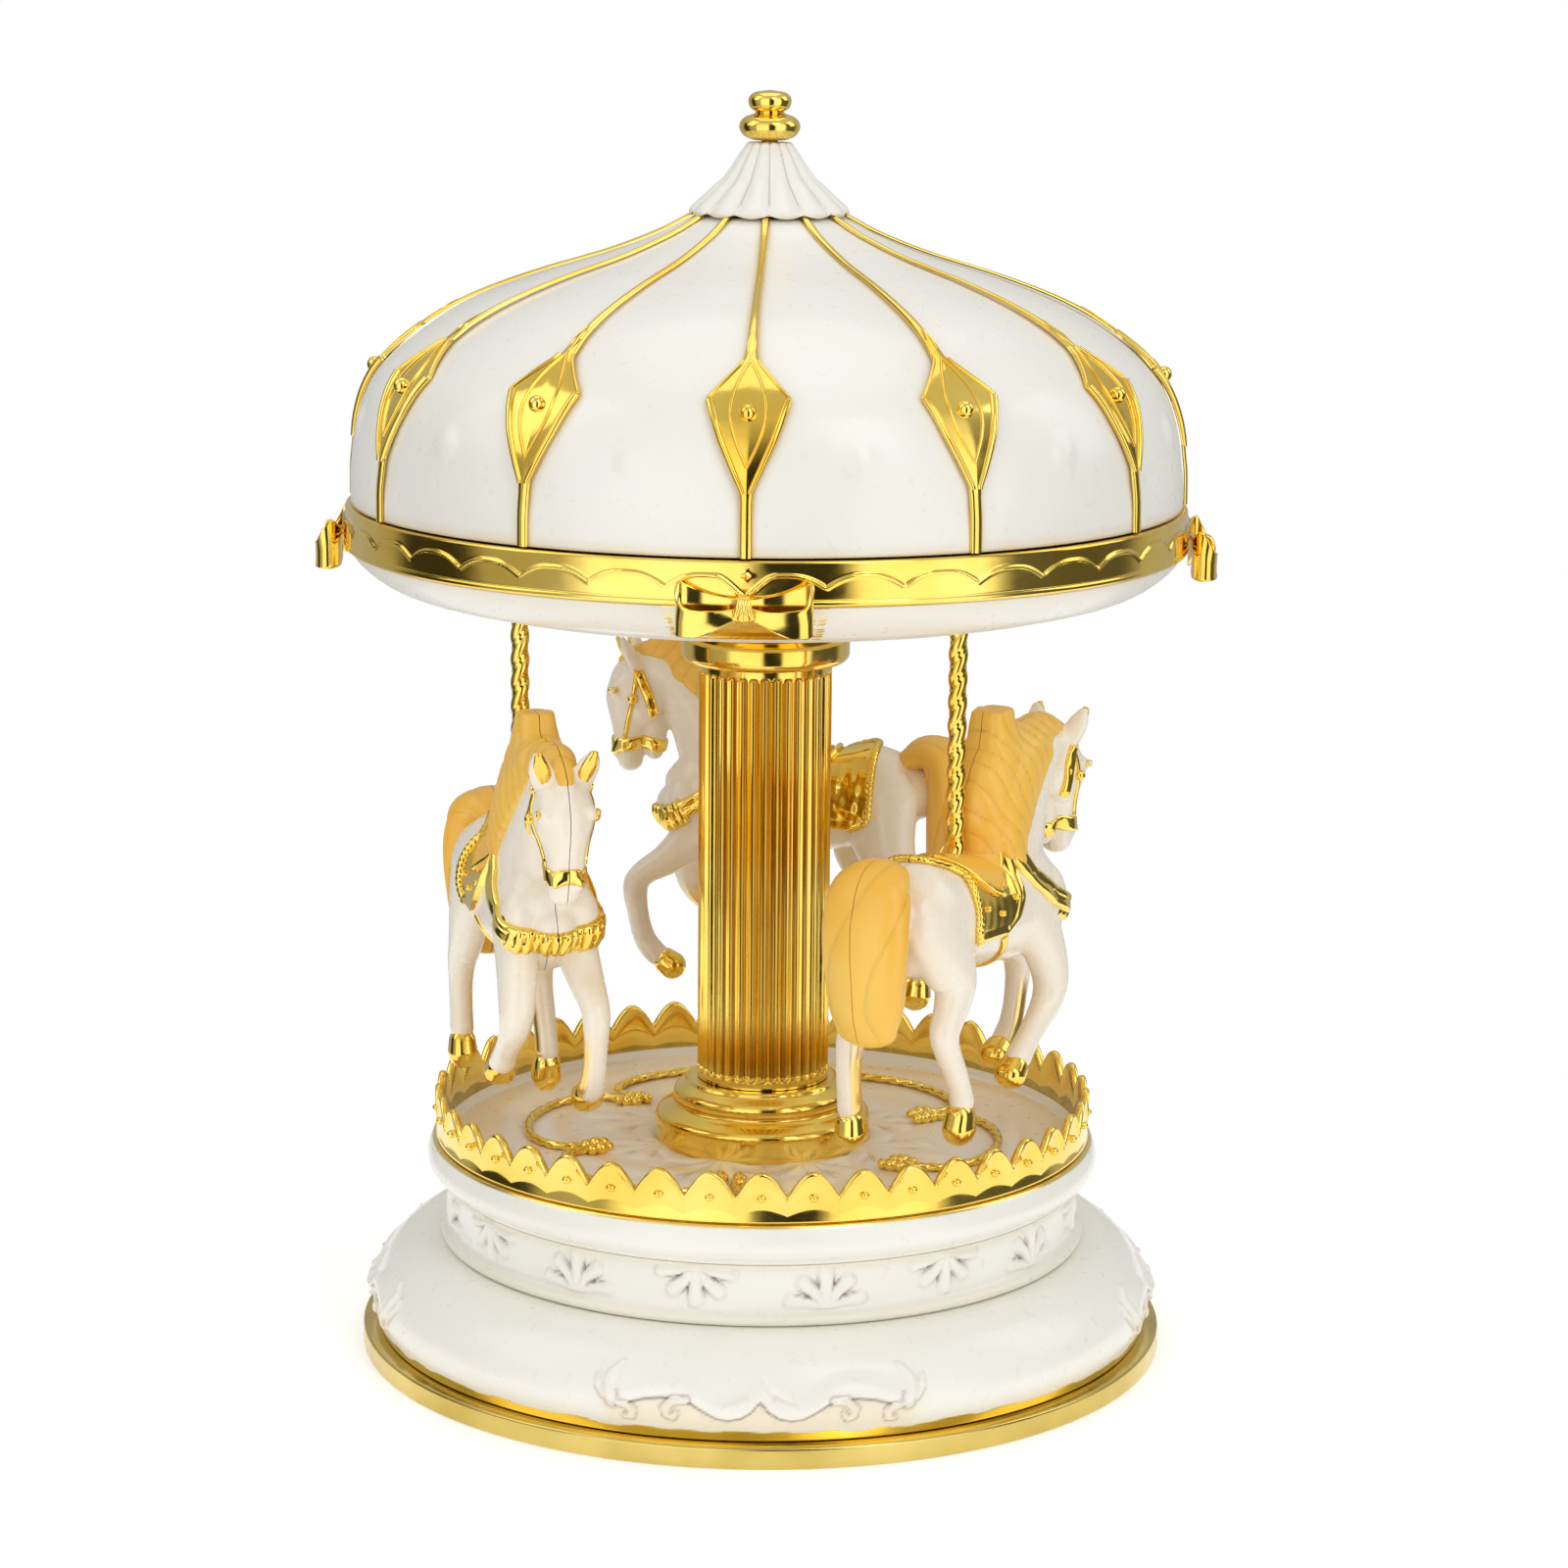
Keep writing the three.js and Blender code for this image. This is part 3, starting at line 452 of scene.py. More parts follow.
CAMERA_PLACE = (0, -0.654, 0.224)
CAMERA_TILT = (11.46, 0.27, 0.49)  # degrees down, to the right, and rolled
CAMERA_LENS = 95.6
LIT_MIDDLE = (0, 0, 0.1)
SOFT_BOXES = {  # azimuth, elevation, distance, size and power
    "softbox_left": (-82, 38, 0.9, (0.5, 0.7), 1.1),
    "softbox_front": (29, 42, 1.0, (0.35, 0.5), 1.0),
    "softbox_right": (98, 30, 0.9, (0.4, 0.6), 1.0),
    "softbox_top": (180, 75, 1.0, (0.7, 0.7), 1.1),
}
WALL_LEVELS = [  # how bright the studio's walls are at each azimuth
    (-180, 0.45), (-120, 0.40), (-112, 0.04), (-88, 0.04), (-80, 0.40), (-56, 0.45), (-46, 1.35),
    (-6, 1.35), (-1, 0.03), (20, 0.03), (25, 1.35), (60, 1.35), (68, 0.12), (112, 0.10), (122, 0.45),
    (180, 0.45),
]
CEILING = (0.62, 0.62, 0.62)
FLOOR_RADIUS = 0.21
FLOOR_SIDES = 96
FLOOR_GLOW = 0.36


def aim_camera():
    pitch, yaw, roll = (math.radians(degrees) for degrees in CAMERA_TILT)
    level = math.cos(pitch)
    forward = Vector((math.sin(yaw) * level, math.cos(yaw) * level, -math.sin(pitch)))
    right = forward.cross(Vector((0, 0, 1))).normalized()
    up = right.cross(forward)
    right, up = (
        right * math.cos(roll) + up * math.sin(roll),
        up * math.cos(roll) - right * math.sin(roll),
    )
    camera = bpy.data.objects.new("camera", bpy.data.cameras.new("camera"))
    turn = Matrix((right, up, -forward)).transposed().to_4x4()
    camera.matrix_world = Matrix.Translation(CAMERA_PLACE) @ turn
    camera.data.lens = CAMERA_LENS
    camera.data.sensor_width = 36
    camera.data.clip_end = 60
    bpy.context.scene.collection.objects.link(camera)
    bpy.context.scene.camera = camera


def area_light(name, azimuth, elevation, distance, size, power):
    """A soft box. Azimuth 0 is the camera's side, and 90 is to its right."""
    data = bpy.data.lights.new(name, "AREA")
    data.shape = "RECTANGLE"
    data.size, data.size_y = size
    data.energy = power
    light = bpy.data.objects.new(name, data)
    a, e = math.radians(azimuth), math.radians(elevation)
    away = Vector((math.sin(a) * math.cos(e), -math.cos(a) * math.cos(e), math.sin(e)))
    light.location = Vector(LIT_MIDDLE) + away * distance
    light.rotation_euler = (-away).to_track_quat("-Z", "Y").to_euler()
    bpy.context.scene.collection.objects.link(light)


def studio_world():
    """A white room whose walls, as the object sees them, have a few darker gaps between the soft boxes."""
    world = bpy.data.worlds.new("studio")
    world.use_nodes = True
    tree = world.node_tree
    place_ = tree.nodes.new("ShaderNodeTexCoord")
    split = tree.nodes.new("ShaderNodeSeparateXYZ")
    tree.links.new(place_.outputs["Generated"], split.inputs[0])
    flip = tree.nodes.new("ShaderNodeMath")
    flip.operation = "MULTIPLY"
    flip.inputs[1].default_value = -1
    tree.links.new(split.outputs["Y"], flip.inputs[0])
    azimuth = tree.nodes.new("ShaderNodeMath")
    azimuth.operation = "ARCTAN2"
    tree.links.new(split.outputs["X"], azimuth.inputs[0])
    tree.links.new(flip.outputs[0], azimuth.inputs[1])
    across = ramp(tree, azimuth.outputs[0], -math.pi, math.pi)
    walls = tree.nodes.new("ShaderNodeValToRGB")
    stops = walls.color_ramp.elements
    while len(stops) < len(WALL_LEVELS):
        stops.new(0.5)
    for stop, (degrees, level) in zip(stops, WALL_LEVELS):
        stop.position = (degrees + 180) / 360
        stop.color = (level, level, level, 1)
    tree.links.new(across, walls.inputs[0])
    overhead = mix_colour(tree, ramp(tree, split.outputs["Z"], 0.35, 0.8), walls.outputs[0], CEILING)
    path = tree.nodes.new("ShaderNodeLightPath")
    seen = mix_colour(tree, path.outputs["Is Camera Ray"], overhead, (1.0, 1.0, 1.0))
    back = tree.nodes["Background"]
    tree.links.new(seen, back.inputs[0])
    back.inputs[1].default_value = 1.0
    bpy.context.scene.world = world


def pale_floor():
    data = bpy.data.meshes.new("floor")
    rim = around(FLOOR_RADIUS, full_turn(FLOOR_SIDES), 0)
    data.from_pydata(rim.tolist(), [], [list(range(FLOOR_SIDES))])
    material, tree, shader = node_material("pale_floor")
    colour = mix_colour(tree, noise(tree, 3, 2), (0.93, 0.93, 0.925), (0.91, 0.91, 0.90))
    tree.links.new(colour, shader.inputs["Base Color"])
    shader.inputs["Roughness"].default_value = 0.6
    shader.inputs["Emission Color"].default_value = (1, 1, 1, 1)
    shader.inputs["Emission Strength"].default_value = FLOOR_GLOW
    data.materials.append(material)
    floor = bpy.data.objects.new("floor", data)
    bpy.context.scene.collection.objects.link(floor)


aim_camera()
studio_world()
pale_floor()
for box_name, box in SOFT_BOXES.items():
    area_light(box_name, *box)
bpy.context.scene.view_settings.view_transform = "Standard"


# ---------------------------------------------------------------- base

def palmette(u, v):
    """A fan of five round-ended petals standing on v = 0: its rise, and the painted shade in its creases."""
    petals = [
        ([(0, 0.2), (0, 3.2), (0, 6.0)], (0.5, 1.0, 1.25)),
        ([(0.25, 0.4), (1.8, 2.9), (3.5, 4.4)], (0.45, 0.95, 1.18)),
        ([(0.4, 0.3), (2.8, 1.3), (5.6, 1.6)], (0.4, 0.8, 1.0)),
    ]
    petals += [([(-a, b) for a, b in path], widths) for path, widths in petals[1:]]
    inside = np.sort(np.stack([stroke(u, v, path, widths) for path, widths in petals]), axis=0)
    first, second = inside[-1], inside[-2]
    rise = 0.85 * np.sqrt(np.clip(first, 0, 1) * (2 - np.clip(first, 0, 1)))
    slit = np.exp(-((first + 0.10) / 0.16) ** 2) * smooth_step(second, -1.3, -0.35)
    return rise - 0.22 * slit, 0.85 * slit


def neck_relief(angle, radius, height):
    rise, wash = np.zeros_like(radius), np.zeros_like(radius)
    outside = radius > 50.0
    for i in range(PALMETTES):
        middle = math.radians(-90 + 11.25 + 22.5 * i)
        u = wrapped(angle - middle) * radius
        close = outside & (np.abs(u) < 7.5) & (height > 19.4)
        up = height[close] - 20.0 if i % 2 == 0 else 27.3 - height[close]
        # The palmettes give their rise and the painted shade in their creases.
        rise[close], wash[close] = palmette(u[close], up)
    keep = between(height, 19.9, 20.5, 27.0, 27.3)
    tint = 0.16 * smooth_step(height, 25.2, 27.2) + 0.14 * (1 - smooth_step(height, 19.0, 20.6))
    return rise * keep, {"wash": np.clip(wash * keep, 0, 1), "tint": tint * outside}


def cartouche(u, v):
    """The moulded apron: a raised field over a scrolled edge, with curls and a leaf at each end."""
    side = np.abs(u)
    edge = np.interp(
        side,
        [0, 0.5, 1.3, 2.8, 4.6, 6.4, 8.2, 10.2, 12.4, 15, 17.6, 19.8, 21.6, 23.2, 24.4],
        [9.9, 9.5, 8.5, 7.5, 7.1, 7.3, 8.2, 9.4, 10.1, 10.1, 9.7, 9.0, 8.3, 8.9, 11.2],
    )
    above = v - edge
    field = between(above, -0.05, 0.45, 1.2, 4.2) * (1 - smooth_step(side, 23.0, 24.6))
    crease = np.exp(-((above + 0.12) / 0.20) ** 2) * (1 - smooth_step(side, 22.5, 24.2))
    strokes = [
        ([(11.0, 9.9), (13.2, 9.7), (14.3, 8.7), (14.1, 7.6), (13.1, 7.2), (12.6, 7.9)],
            (0.5, 0.6, 0.6, 0.55, 0.5, 0.45)),
        ([(21.8, 8.7), (20.4, 8.5), (19.3, 7.8), (19.5, 6.8), (20.5, 6.7)],
            (0.5, 0.6, 0.6, 0.55, 0.45)),
        ([(22.6, 9.0), (23.6, 11.0), (22.9, 12.8), (21.7, 14.2)], (1.0, 1.15, 0.8, 0.3)),
        ([(24.0, 9.8), (25.1, 11.0), (25.4, 12.4)], (0.7, 0.6, 0.3)),
        ([(2.2, 10.2), (3.6, 9.2), (5.4, 9.2)], (0.4, 0.75, 0.3)),
    ]
    curls = np.max([stroke(side, v, path, widths) for path, widths in strokes], axis=0)
    curl = np.sqrt(np.clip(curls, 0, 1) * (2 - np.clip(curls, 0, 1)))
    round_curl = np.exp(-((curls + 0.25) / 0.25) ** 2) * (v < 10.5)
    # Painted shade: dark along the field's scrolled edge and round the curls.
    wash = np.clip(0.75 * crease * (curls < 0.1) + 0.4 * round_curl * (side > 9), 0, 1)
    tint = 0.32 * smooth_step(-above, 0.1, 0.8) * (1 - smooth_step(side, 21, 27))
    return 0.75 * field + 0.55 * curl - 0.18 * crease, wash, tint


def skirt_relief(angle, radius, height):
    rise, wash, tint = np.zeros_like(radius), np.zeros_like(radius), np.zeros_like(radius)
    outside = (radius > 55) & (height > 3.2)
    for i in range(APRONS):
        u = wrapped(angle - math.radians(-90 + 90 * i)) * 63
        close = outside & (np.abs(u) < 28) & (height < 15.5)
        rise[close], wash[close], tint[close] = cartouche(u[close], height[close])
    line = 5.05 + 0.22 * ragged(angle, 3)
    bare = outside & (height < line)
    gold = np.where(outside, 1 - smooth_step(height - line, -0.12, 0.12), 0.0)
    peach_tint = 0.20 * (1 - smooth_step(height, 5.0, 9.5)) * outside * (0.6 + 0.4 * ragged(angle, 8, (2, 9)))
    keep = smooth_step(height, 5.2, 6.0)
    rise = np.where(bare, 0, rise * keep)
    tint = np.clip(np.maximum(tint * keep, peach_tint), 0, 1)
    # The dark layer passed on from the aprons is painted shade.
    return rise, {"gold": gold, "wash": wash * keep * (1 - gold), "tint": tint}


turned(
    "base_foot", [(57, 0), (65, 0, 0.35), (65, 3.4, 0.5), (57, 3.4)], SHADED_FOOT_GOLD, columns=360,
    body="stand", replaces=["foot_ring"], slot="gold_plating",
)
turned(
    "base_apron",
    [
        (60.6, 3.5), (62.3, 3.5, 0.2), (63.0, 5.6, 1.2), (63.55, 8.2, 1.6), (62.7, 11.2, 2.2),
        (60.0, 15.4, 3.0), (55.9, 17.9, 1.4), (49, 17.8), (49, 15.8), (54.6, 15.8, 1.5),
        (60.4, 10.4, 1.5),
    ],
    IVORY, columns=1100, step=0.36, relief=skirt_relief,
    body="stand", replaces=["base_skirt"], slot="ivory_enamel",
)
turned(
    "base_neck",
    [
        (48.6, 17.9), (51.7, 17.9, 0.3), (52.35, 18.5, 0.5), (52.2, 19.3, 0.5), (50.9, 19.8, 0.5),
        (50.6, 20.6, 0.6), (50.6, 26.4, 0.6), (51.4, 27.4, 0.4), (48.6, 27.4),
    ],
    IVORY, columns=1080, step=0.34, relief=neck_relief,
    body="stand", replaces=["neck_band"], slot="ivory_enamel",
)


def deck_relief(angle, radius, height):
    """Leafy strands on the floor, spreading from the column's foot, and the gilt lip of the rim."""
    rise, wash = np.zeros_like(radius), np.zeros_like(radius)
    floor = (height > 32.6) & (radius < 50.8) & (radius > 17)
    for i in range(DECK_LEAVES):
        middle = math.radians(22.5 + 45 * i)
        u = wrapped(angle - middle) * np.maximum(radius, 1)
        v = radius - 16.5
        close = floor & (np.abs(u) < 9) & (v < 16)
        scale = 2.1 if i % 2 else 1.6
        up, dark = palmette(u[close] / scale * 1.25, v[close] / scale)
        rise[close] = np.maximum(rise[close], np.clip(up, 0, 1) * 0.55)
        # Painted shade in the leaves' creases.
        wash[close] = np.maximum(wash[close], 0.45 * dark)
    tint = floor * (0.36 + 0.16 * ragged(angle + radius / 7, 21, (1, 9)))
    lip = smooth_step(height, 33.75, 33.95) * (radius > 52)
    return rise, {"gold": lip, "wash": wash, "tint": np.clip(tint, 0, 0.7)}


turned(
    "deck_plate",
    [
        (8.5, 31), (48, 31), (48, 27.5), (51.4, 27.5, 0.3), (51.9, 28.3, 0.5), (53.6, 29.2, 1.0),
        (54.5, 31.0, 1.4), (53.9, 33.2, 1.0), (53.3, 34.3, 0.25), (51.5, 34.3, 0.2), (51.2, 33.0, 0.3),
        (8.5, 33.0),
    ],
    IVORY, columns=720, step=0.42, relief=deck_relief,
    body="stand", replaces=["platform_deck"], slot="ivory_enamel",
)


def fence():
    """A scalloped rail: round lobes between sharp valleys, a beaded edge and a stud under each lobe."""
    build = Build()
    angle = full_turn(FENCE_LOBES * 20)
    top = 38.5 + 3.85 * np.abs(np.sin(FENCE_LOBES / 2 * angle)) ** 0.95
    section = [
        (51.75, 34.45, 0), (52.75, 34.45, 0), (52.95, 34.7, 0), (52.75, 35.0, 0), (52.75, 0, 0.3),
        (52.75, 0, 0.6), (52.75, -1.0, 1), (52.95, -0.75, 1), (53.05, -0.45, 1), (52.95, -0.12, 1),
        (52.65, 0.05, 1), (52.2, 0.05, 1), (51.85, -0.15, 1), (51.75, -0.5, 1), (51.9, -0.9, 1),
        (51.9, 0, 0.5),
    ]
    rings = []
    low = 34.45
    for radius, offset, share in section:
        height = offset if share == 0 else low + share * (top - low) + offset
        rings.append(around(radius, angle, height))
    build.grid(np.array(rings), GOLD, loop_rows=True)
    for i in range(FENCE_LOBES):
        out, _ = compass((i + 0.5) * TURN / FENCE_LOBES)
        build.gilt(ball_grid(out * 52.85 + [0, 0, 38.4], (0.5, 0.5, 0.5), 8, 10))
        build.gilt(ball_grid(out * 52.78 + [0, 0, 38.4], (0.78, 0.78, 0.62), 6, 12))
    build.object("fence_rail", "stand", ["crown_fence"], "gold_plating")


def deck_ropes():
    """Gilt cords that lie in swags on the platform's floor, knotted at both ends."""
    build = Build()
    half = [(28.2, 27), (30.5, 28), (34.6, 25), (37.6, 15)]
    shape = [(radius, -degrees) for radius, degrees in half] + [(38.6, 0)] + half[::-1]
    for middle in DECK_SWAGS:
        points = [
            compass(middle + math.radians(degrees))[0] * radius + [0, 0, 33.7]
            for radius, degrees in shape
        ]
        build.gilt(rope_grid(curve(points, 320), 0.72, 3.0, 3, 14))
        for degrees in (-27, 27):
            out, side = compass(middle + math.radians(degrees))
            for along, across, size in ((0, 0, 1.15), (1.6, 0.3, 0.9), (-1.4, -0.4, 0.9)):
                centre = (28.0 + along) * out
                centre += across * side + [0, 0, 33.8]
                build.gilt(ball_grid(centre, (size, size, size)))
    build.object("deck_swags", "stand", slot="gold_plating")


fence()
deck_ropes()


# ---------------------------------------------------------------- column

turned(
    "column_foot",
    [
        (7, 33.1), (17.4, 33.1, 0.2), (17.4, 37.6, 0.9), (16.1, 38.3, 0.5), (14.9, 38.8, 0.4),
        (14.2, 39.3, 0.4), (14.5, 40.2, 0.6), (14.3, 41.5, 0.7), (13.1, 42.2, 0.4), (12.5, 42.6, 0.2),
        (12.2, 43.3, 0.3), (7, 43.3),
    ],
    GOLD, columns=256, step=0.5, body="stand", replaces=["column_base"], slot="gold_plating",
)


def fluted_column():
    """A shaft of round flutes with rounded ends. Each flute has painted shade in its hollow and down one
    side.
    """
    angle = full_turn(FLUTES * 14)
    core, radius, deep, half_width = 6.2, 10.6, 0.78, 0.80
    across = wrapped(angle * FLUTES) / TURN * (TURN * radius / FLUTES)
    low, high, ends = 43.4, 111.4, 1.15
    steps = np.concatenate([
        low + ends + np.linspace(-1.15, 1.4, 22),
        np.linspace(low + 4, high - 4, 24),
        high - ends + np.linspace(-1.4, 1.15, 22),
    ])
    rings, wash = [around(core, angle, low)], [0 * angle]
    for height in steps:
        beyond = max(low + ends + 0.75 - height, height - (high - ends - 0.75), 0)
        inside = np.clip(1 - (across ** 2 + beyond ** 2) / half_width ** 2, 0, 1)
        rings.append(around(radius - deep * np.sqrt(inside), angle, height))
        # Painted shade: dark in each flute's hollow and down its one side.
        shaded = smooth_step(inside, 0.02, 0.2) * (across > 0) * (inside < 0.6)
        wash.append(0.75 * smooth_step(inside, 0.45, 0.95) + 0.35 * shaded)
    rings.append(around(core, angle, high))
    wash.append(0 * angle)
    build = Build()
    build.grid(np.array(rings), GOLD, loop_rows=True, wash=np.array(wash))
    build.object("column_flutes", "stand", ["column_shaft"], "gold_plating", smooth_angle=50)


fluted_column()
turned(
    "column_head",
    [(6.2, 111.5), (12.3, 111.5, 0.4), (13.4, 112.3, 0.8), (13.4, 115.4, 0.9), (12.3, 116.2, 0.4),
        (6.2, 116.2)],
    GOLD, columns=192, step=0.4, body="stand", replaces=["column_capital"], slot="gold_plating",
)


# ---------------------------------------------------------------- canopy

turned(
    "canopy_boss",
    [(9, 116.8), (10.5, 116.8, 0.4), (11, 118.6, 0.6), (13.2, 120.8, 1.0), (17, 122.2), (9, 122.2)],
    GOLD, columns=192, step=0.4, body="canopy", replaces=["canopy_collar"], slot="gold_plating",
)


def bow_patch(angle, height):
    """How gilt the canopy is behind and under each bow."""
    patch = np.zeros_like(height)
    for i in range(len(BOWS)):
        u = wrapped(angle - CANOPY_PHASE - math.pi / 2 * i) * 64
        reach = np.abs(u) / 10.5 + 0.08 * ragged(angle * 3, 5 + i) + 0.06 * ragged(height / 3, 2)
        patch = np.maximum(patch, 1 - smooth_step(reach, 0.93, 1.03))
    return patch


def tray_relief(angle, radius, height):
    patch = bow_patch(angle, height) * (height > 124.4) * (radius > 56)
    under = 0.16 * smooth_step(height, 127, 130)
    return np.zeros_like(radius), {"gold": patch, "tint": np.clip(under + 0.2 * patch, 0, 1)}


def band_relief(angle, radius, height):
    """A thin wave of round arches runs round the band, deepest over each bow, with a star above."""
    outside = radius > 66.0
    phase = angle - CANOPY_PHASE
    arch = np.abs(np.sin(18 * phase))
    wave = 133.25 + 1.9 * (1 - (1 - arch) ** 1.35)
    near_bow = np.zeros_like(radius)
    star = np.zeros_like(radius)
    for i in range(len(BOWS)):
        u = wrapped(phase - math.pi / 2 * i) * 66.4
        near_bow = np.maximum(near_bow, 1 - smooth_step(np.abs(u), 0.0, 4.6))
        v = height - 135.1
        spikes = np.sqrt(np.abs(u) / 2.7) + np.sqrt(np.abs(v) / 1.75)
        star = np.maximum(star, 1 - smooth_step(spikes, 0.35, 1.0))
    wave = wave - 1.35 * near_bow
    ridge = np.exp(-((height - wave) / 0.19) ** 2)
    lower = 0.20 * smooth_step(wave - height, -0.1, 0.25)
    rise = (0.42 * ridge + lower) * between(height, 131.3, 131.7, 136.2, 136.6) * outside
    rise = rise + 0.42 * star * outside
    # Painted shade: a thin dark line just above the wave's ridge.
    return rise, {"wash": 0.25 * np.exp(-((height - wave - 0.32) / 0.12) ** 2) * outside}


def dome_relief(angle, radius, height):
    phase = angle - CANOPY_PHASE
    outside = (height > 138) & (height < 181)
    gore = np.abs(np.sin(6 * phase))
    swell = 0.55 * (gore - 0.6) * between(height, 139, 146, 168, 180)
    rise, tint = swell * outside, np.zeros_like(radius)
    for i in range(RIBS):
        off = wrapped(phase - math.radians(15 + 30 * i)) * radius
        near = np.hypot(off, (height - 151) * 1.03)
        rise = rise + 0.42 * (1 - smooth_step(near, 0.6, 3.4)) * outside
        away = np.abs(wrapped(phase - math.radians(30 * i)) * radius)
        edge = rib_half_width(height)
        tint = np.maximum(tint, 0.5 * np.exp(-(np.clip(away - edge, 0, 9) / 0.55) ** 2))
    tint = tint * (height > 138) + 0.30 * (1 - smooth_step(height, 138.0, 139.6))
    patchy = 0.75 + 0.25 * ragged(angle + height / 50, 31, (3, 50))
    return rise, {"tint": np.clip(tint, 0, 1) * patchy}


def rib_half_width(height):
    levels = [137, 145.5, 147, 149.6, 154.0, 159, 159.3, 163.4, 164.3, 166.5, 170, 174, 178, 181.2]
    widths = [0.92, 0.92, 1.05, 2.25, 4.25, 6.05, 6.05, 1.75, 1.15, 0.8, 0.62, 0.55, 0.6, 0.65]
    return np.interp(height, levels, widths)


DOME_LINE = curve(
    [
        (65.45, 137.5), (65.4, 142), (65.1, 145), (64.7, 148.3), (64.0, 151.4), (62.9, 154.5),
        (61.2, 157.6), (58.4, 160.7), (54.5, 163.8), (49.6, 167), (43.3, 170), (34.9, 173), (24.9, 176),
        (17.1, 179), (12.2, 181.5), (10.5, 182.0),
    ],
    120,
)


def canopy_dome():
    inner = DOME_LINE[::-1][::6] - [1.6, 0.9]
    inner = np.vstack([inner[:-1], [63.9, 137.5]])
    corners = [tuple(p) for p in np.vstack([DOME_LINE, inner])]
    turned(
        "dome_shell", corners, IVORY, columns=720, step=0.9, relief=dome_relief,
        body="canopy", replaces=["canopy_dome"], slot="ivory_enamel",
    )


def canopy_ribs():
    """Gilt ribs: a stem, a kite with beaded lower edges, an almond, a stud, and a ribbon up to the cap."""
    build = Build()
    line = resampled(DOME_LINE[:-6], 0.4, closed=False)
    along = unit(np.gradient(line, axis=0))
    normal = np.stack([along[:, 1], -along[:, 0]], -1)
    across = np.concatenate([[-1.0], np.linspace(-1, 1, 17), [1.0]])
    level = line[:, 1:]
    half = rib_half_width(level)
    in_kite = between(level, 146.2, 148.5, 163.2, 164.6)
    ribbon = 0.18 + 0.5 * np.sqrt(np.clip(1 - across[None, :] ** 2, 0, 1)) * np.minimum(1, half / 0.8)
    face = 0.5 + 0.16 * (1 - np.abs(across[None, :]))
    rise = ribbon * (1 - in_kite) + face * in_kite
    rise[:, 0] = rise[:, -1] = 0.05

    def laid(azimuth, height, aside, lift):
        """Points at heights on the dome, off the rib's middle line and lifted off the surface."""
        out, side = (vector[:2] for vector in compass(azimuth))
        radius = np.interp(height, line[:, 1], line[:, 0])
        push = [np.interp(height, line[:, 1], normal[:, i]) * (lift + 0.12) for i in (0, 1)]
        sag = aside ** 2 / (2 * np.maximum(radius, 8))
        flat = (radius - sag + push[0])[..., None] * out + aside[..., None] * side
        return np.concatenate([flat, (height + push[1])[..., None]], -1)

    for i in range(RIBS):
        azimuth = CANOPY_PHASE + i * TURN / RIBS
        outwards = (math.cos(azimuth), math.sin(azimuth), 0.3)
        height = np.broadcast_to(level, rise.shape)
        build.gilt(laid(azimuth, height, across[None, :] * half, rise))

        def wire(levels, aside, lift, radius, sides):
            build.gilt(tube(laid(azimuth, levels, aside, lift + 0 * levels), radius, sides, outwards))

        for way in (-1, 1):
            levels = np.linspace(146.6, 159.0, 40)
            bead_radius = 0.62 * np.linspace(0.7, 1, 40)
            wire(levels, way * (rib_half_width(levels) - 0.42), 0.48, bead_radius, 10)
            levels = np.linspace(159.0, 164.0, 20)
            wire(levels, way * (rib_half_width(levels) - 0.15), 0.55, 0.26, 8)
            levels = np.linspace(150.2, 164.0, 44)
            share = (levels - 150.2) / 13.8
            bulge = 2.55 * np.clip(np.sin(math.pi * share ** 1.12), 0, 1) ** 0.9
            wire(levels, way * np.clip(bulge, 0.02, 9), 0.66, 0.24, 8)
        stud = laid(azimuth, np.array([157.4]), np.array([0.0]), np.array([0.75]))[0]
        build.gilt(ball_grid(stud, (1.25, 1.25, 1.25), 14, 20))
        for way in (-1, 1):
            levels = np.linspace(164.2, 167.6, 16)
            wire(levels, way * 0.5 * np.sin(math.pi * (levels - 164.2) / 3.4), 0.6, 0.17, 6)
    build.object("dome_ribs", "canopy", ["canopy_ribs"], "gold_plating", smooth_angle=48)


def bow_loop(way, out, side):
    """One loop of a bow: an upright ribbon that leaves the knot, turns back at its end, and rises behind."""
    plan = curve(
        [
            (69.5, 0.3), (70.1, 2.2), (70.5, 4.6), (70.45, 7.2), (69.9, 9.0), (68.8, 9.65), (67.7, 9.1),
            (67.2, 7.2), (67.15, 4.8), (67.5, 2.4), (68.4, 0.3),
        ],
        90,
    )
    share = np.linspace(0, 1, 90)
    spread = np.clip(plan[:, 1] / 9.65, 0, 1)
    low = 129.3 - 2.5 * smooth_step(spread, 0.0, 0.75)
    front = 131.0 - 0.5 * np.sin(math.pi * spread)
    rear = 131.9 + 2.5 * spread ** 2.2
    behind = smooth_step(share, 0.36, 0.56)
    high = front * (1 - behind) + rear * behind
    tangent = unit(np.gradient(plan, axis=0))
    thick = np.stack([tangent[:, 1], -tangent[:, 0]], -1) * 0.3
    section = [
        (-1, 0), (-1.15, 0.04), (-0.9, 0.09), (-0.8, 0.5), (-0.9, 0.91), (-1.15, 0.96), (-1, 1),
        (0, 1.03), (1, 1), (0.8, 0.5), (1, 0), (0, -0.03),
    ]
    rings = []
    for turn_, level in section:
        where = plan - turn_ * thick
        rise = low + level * (high - low)
        rings.append(where[:, :1] * out + way * where[:, 1:] * side + rise[:, None] * [0, 0, 1])
    return np.array(rings).transpose(1, 0, 2)


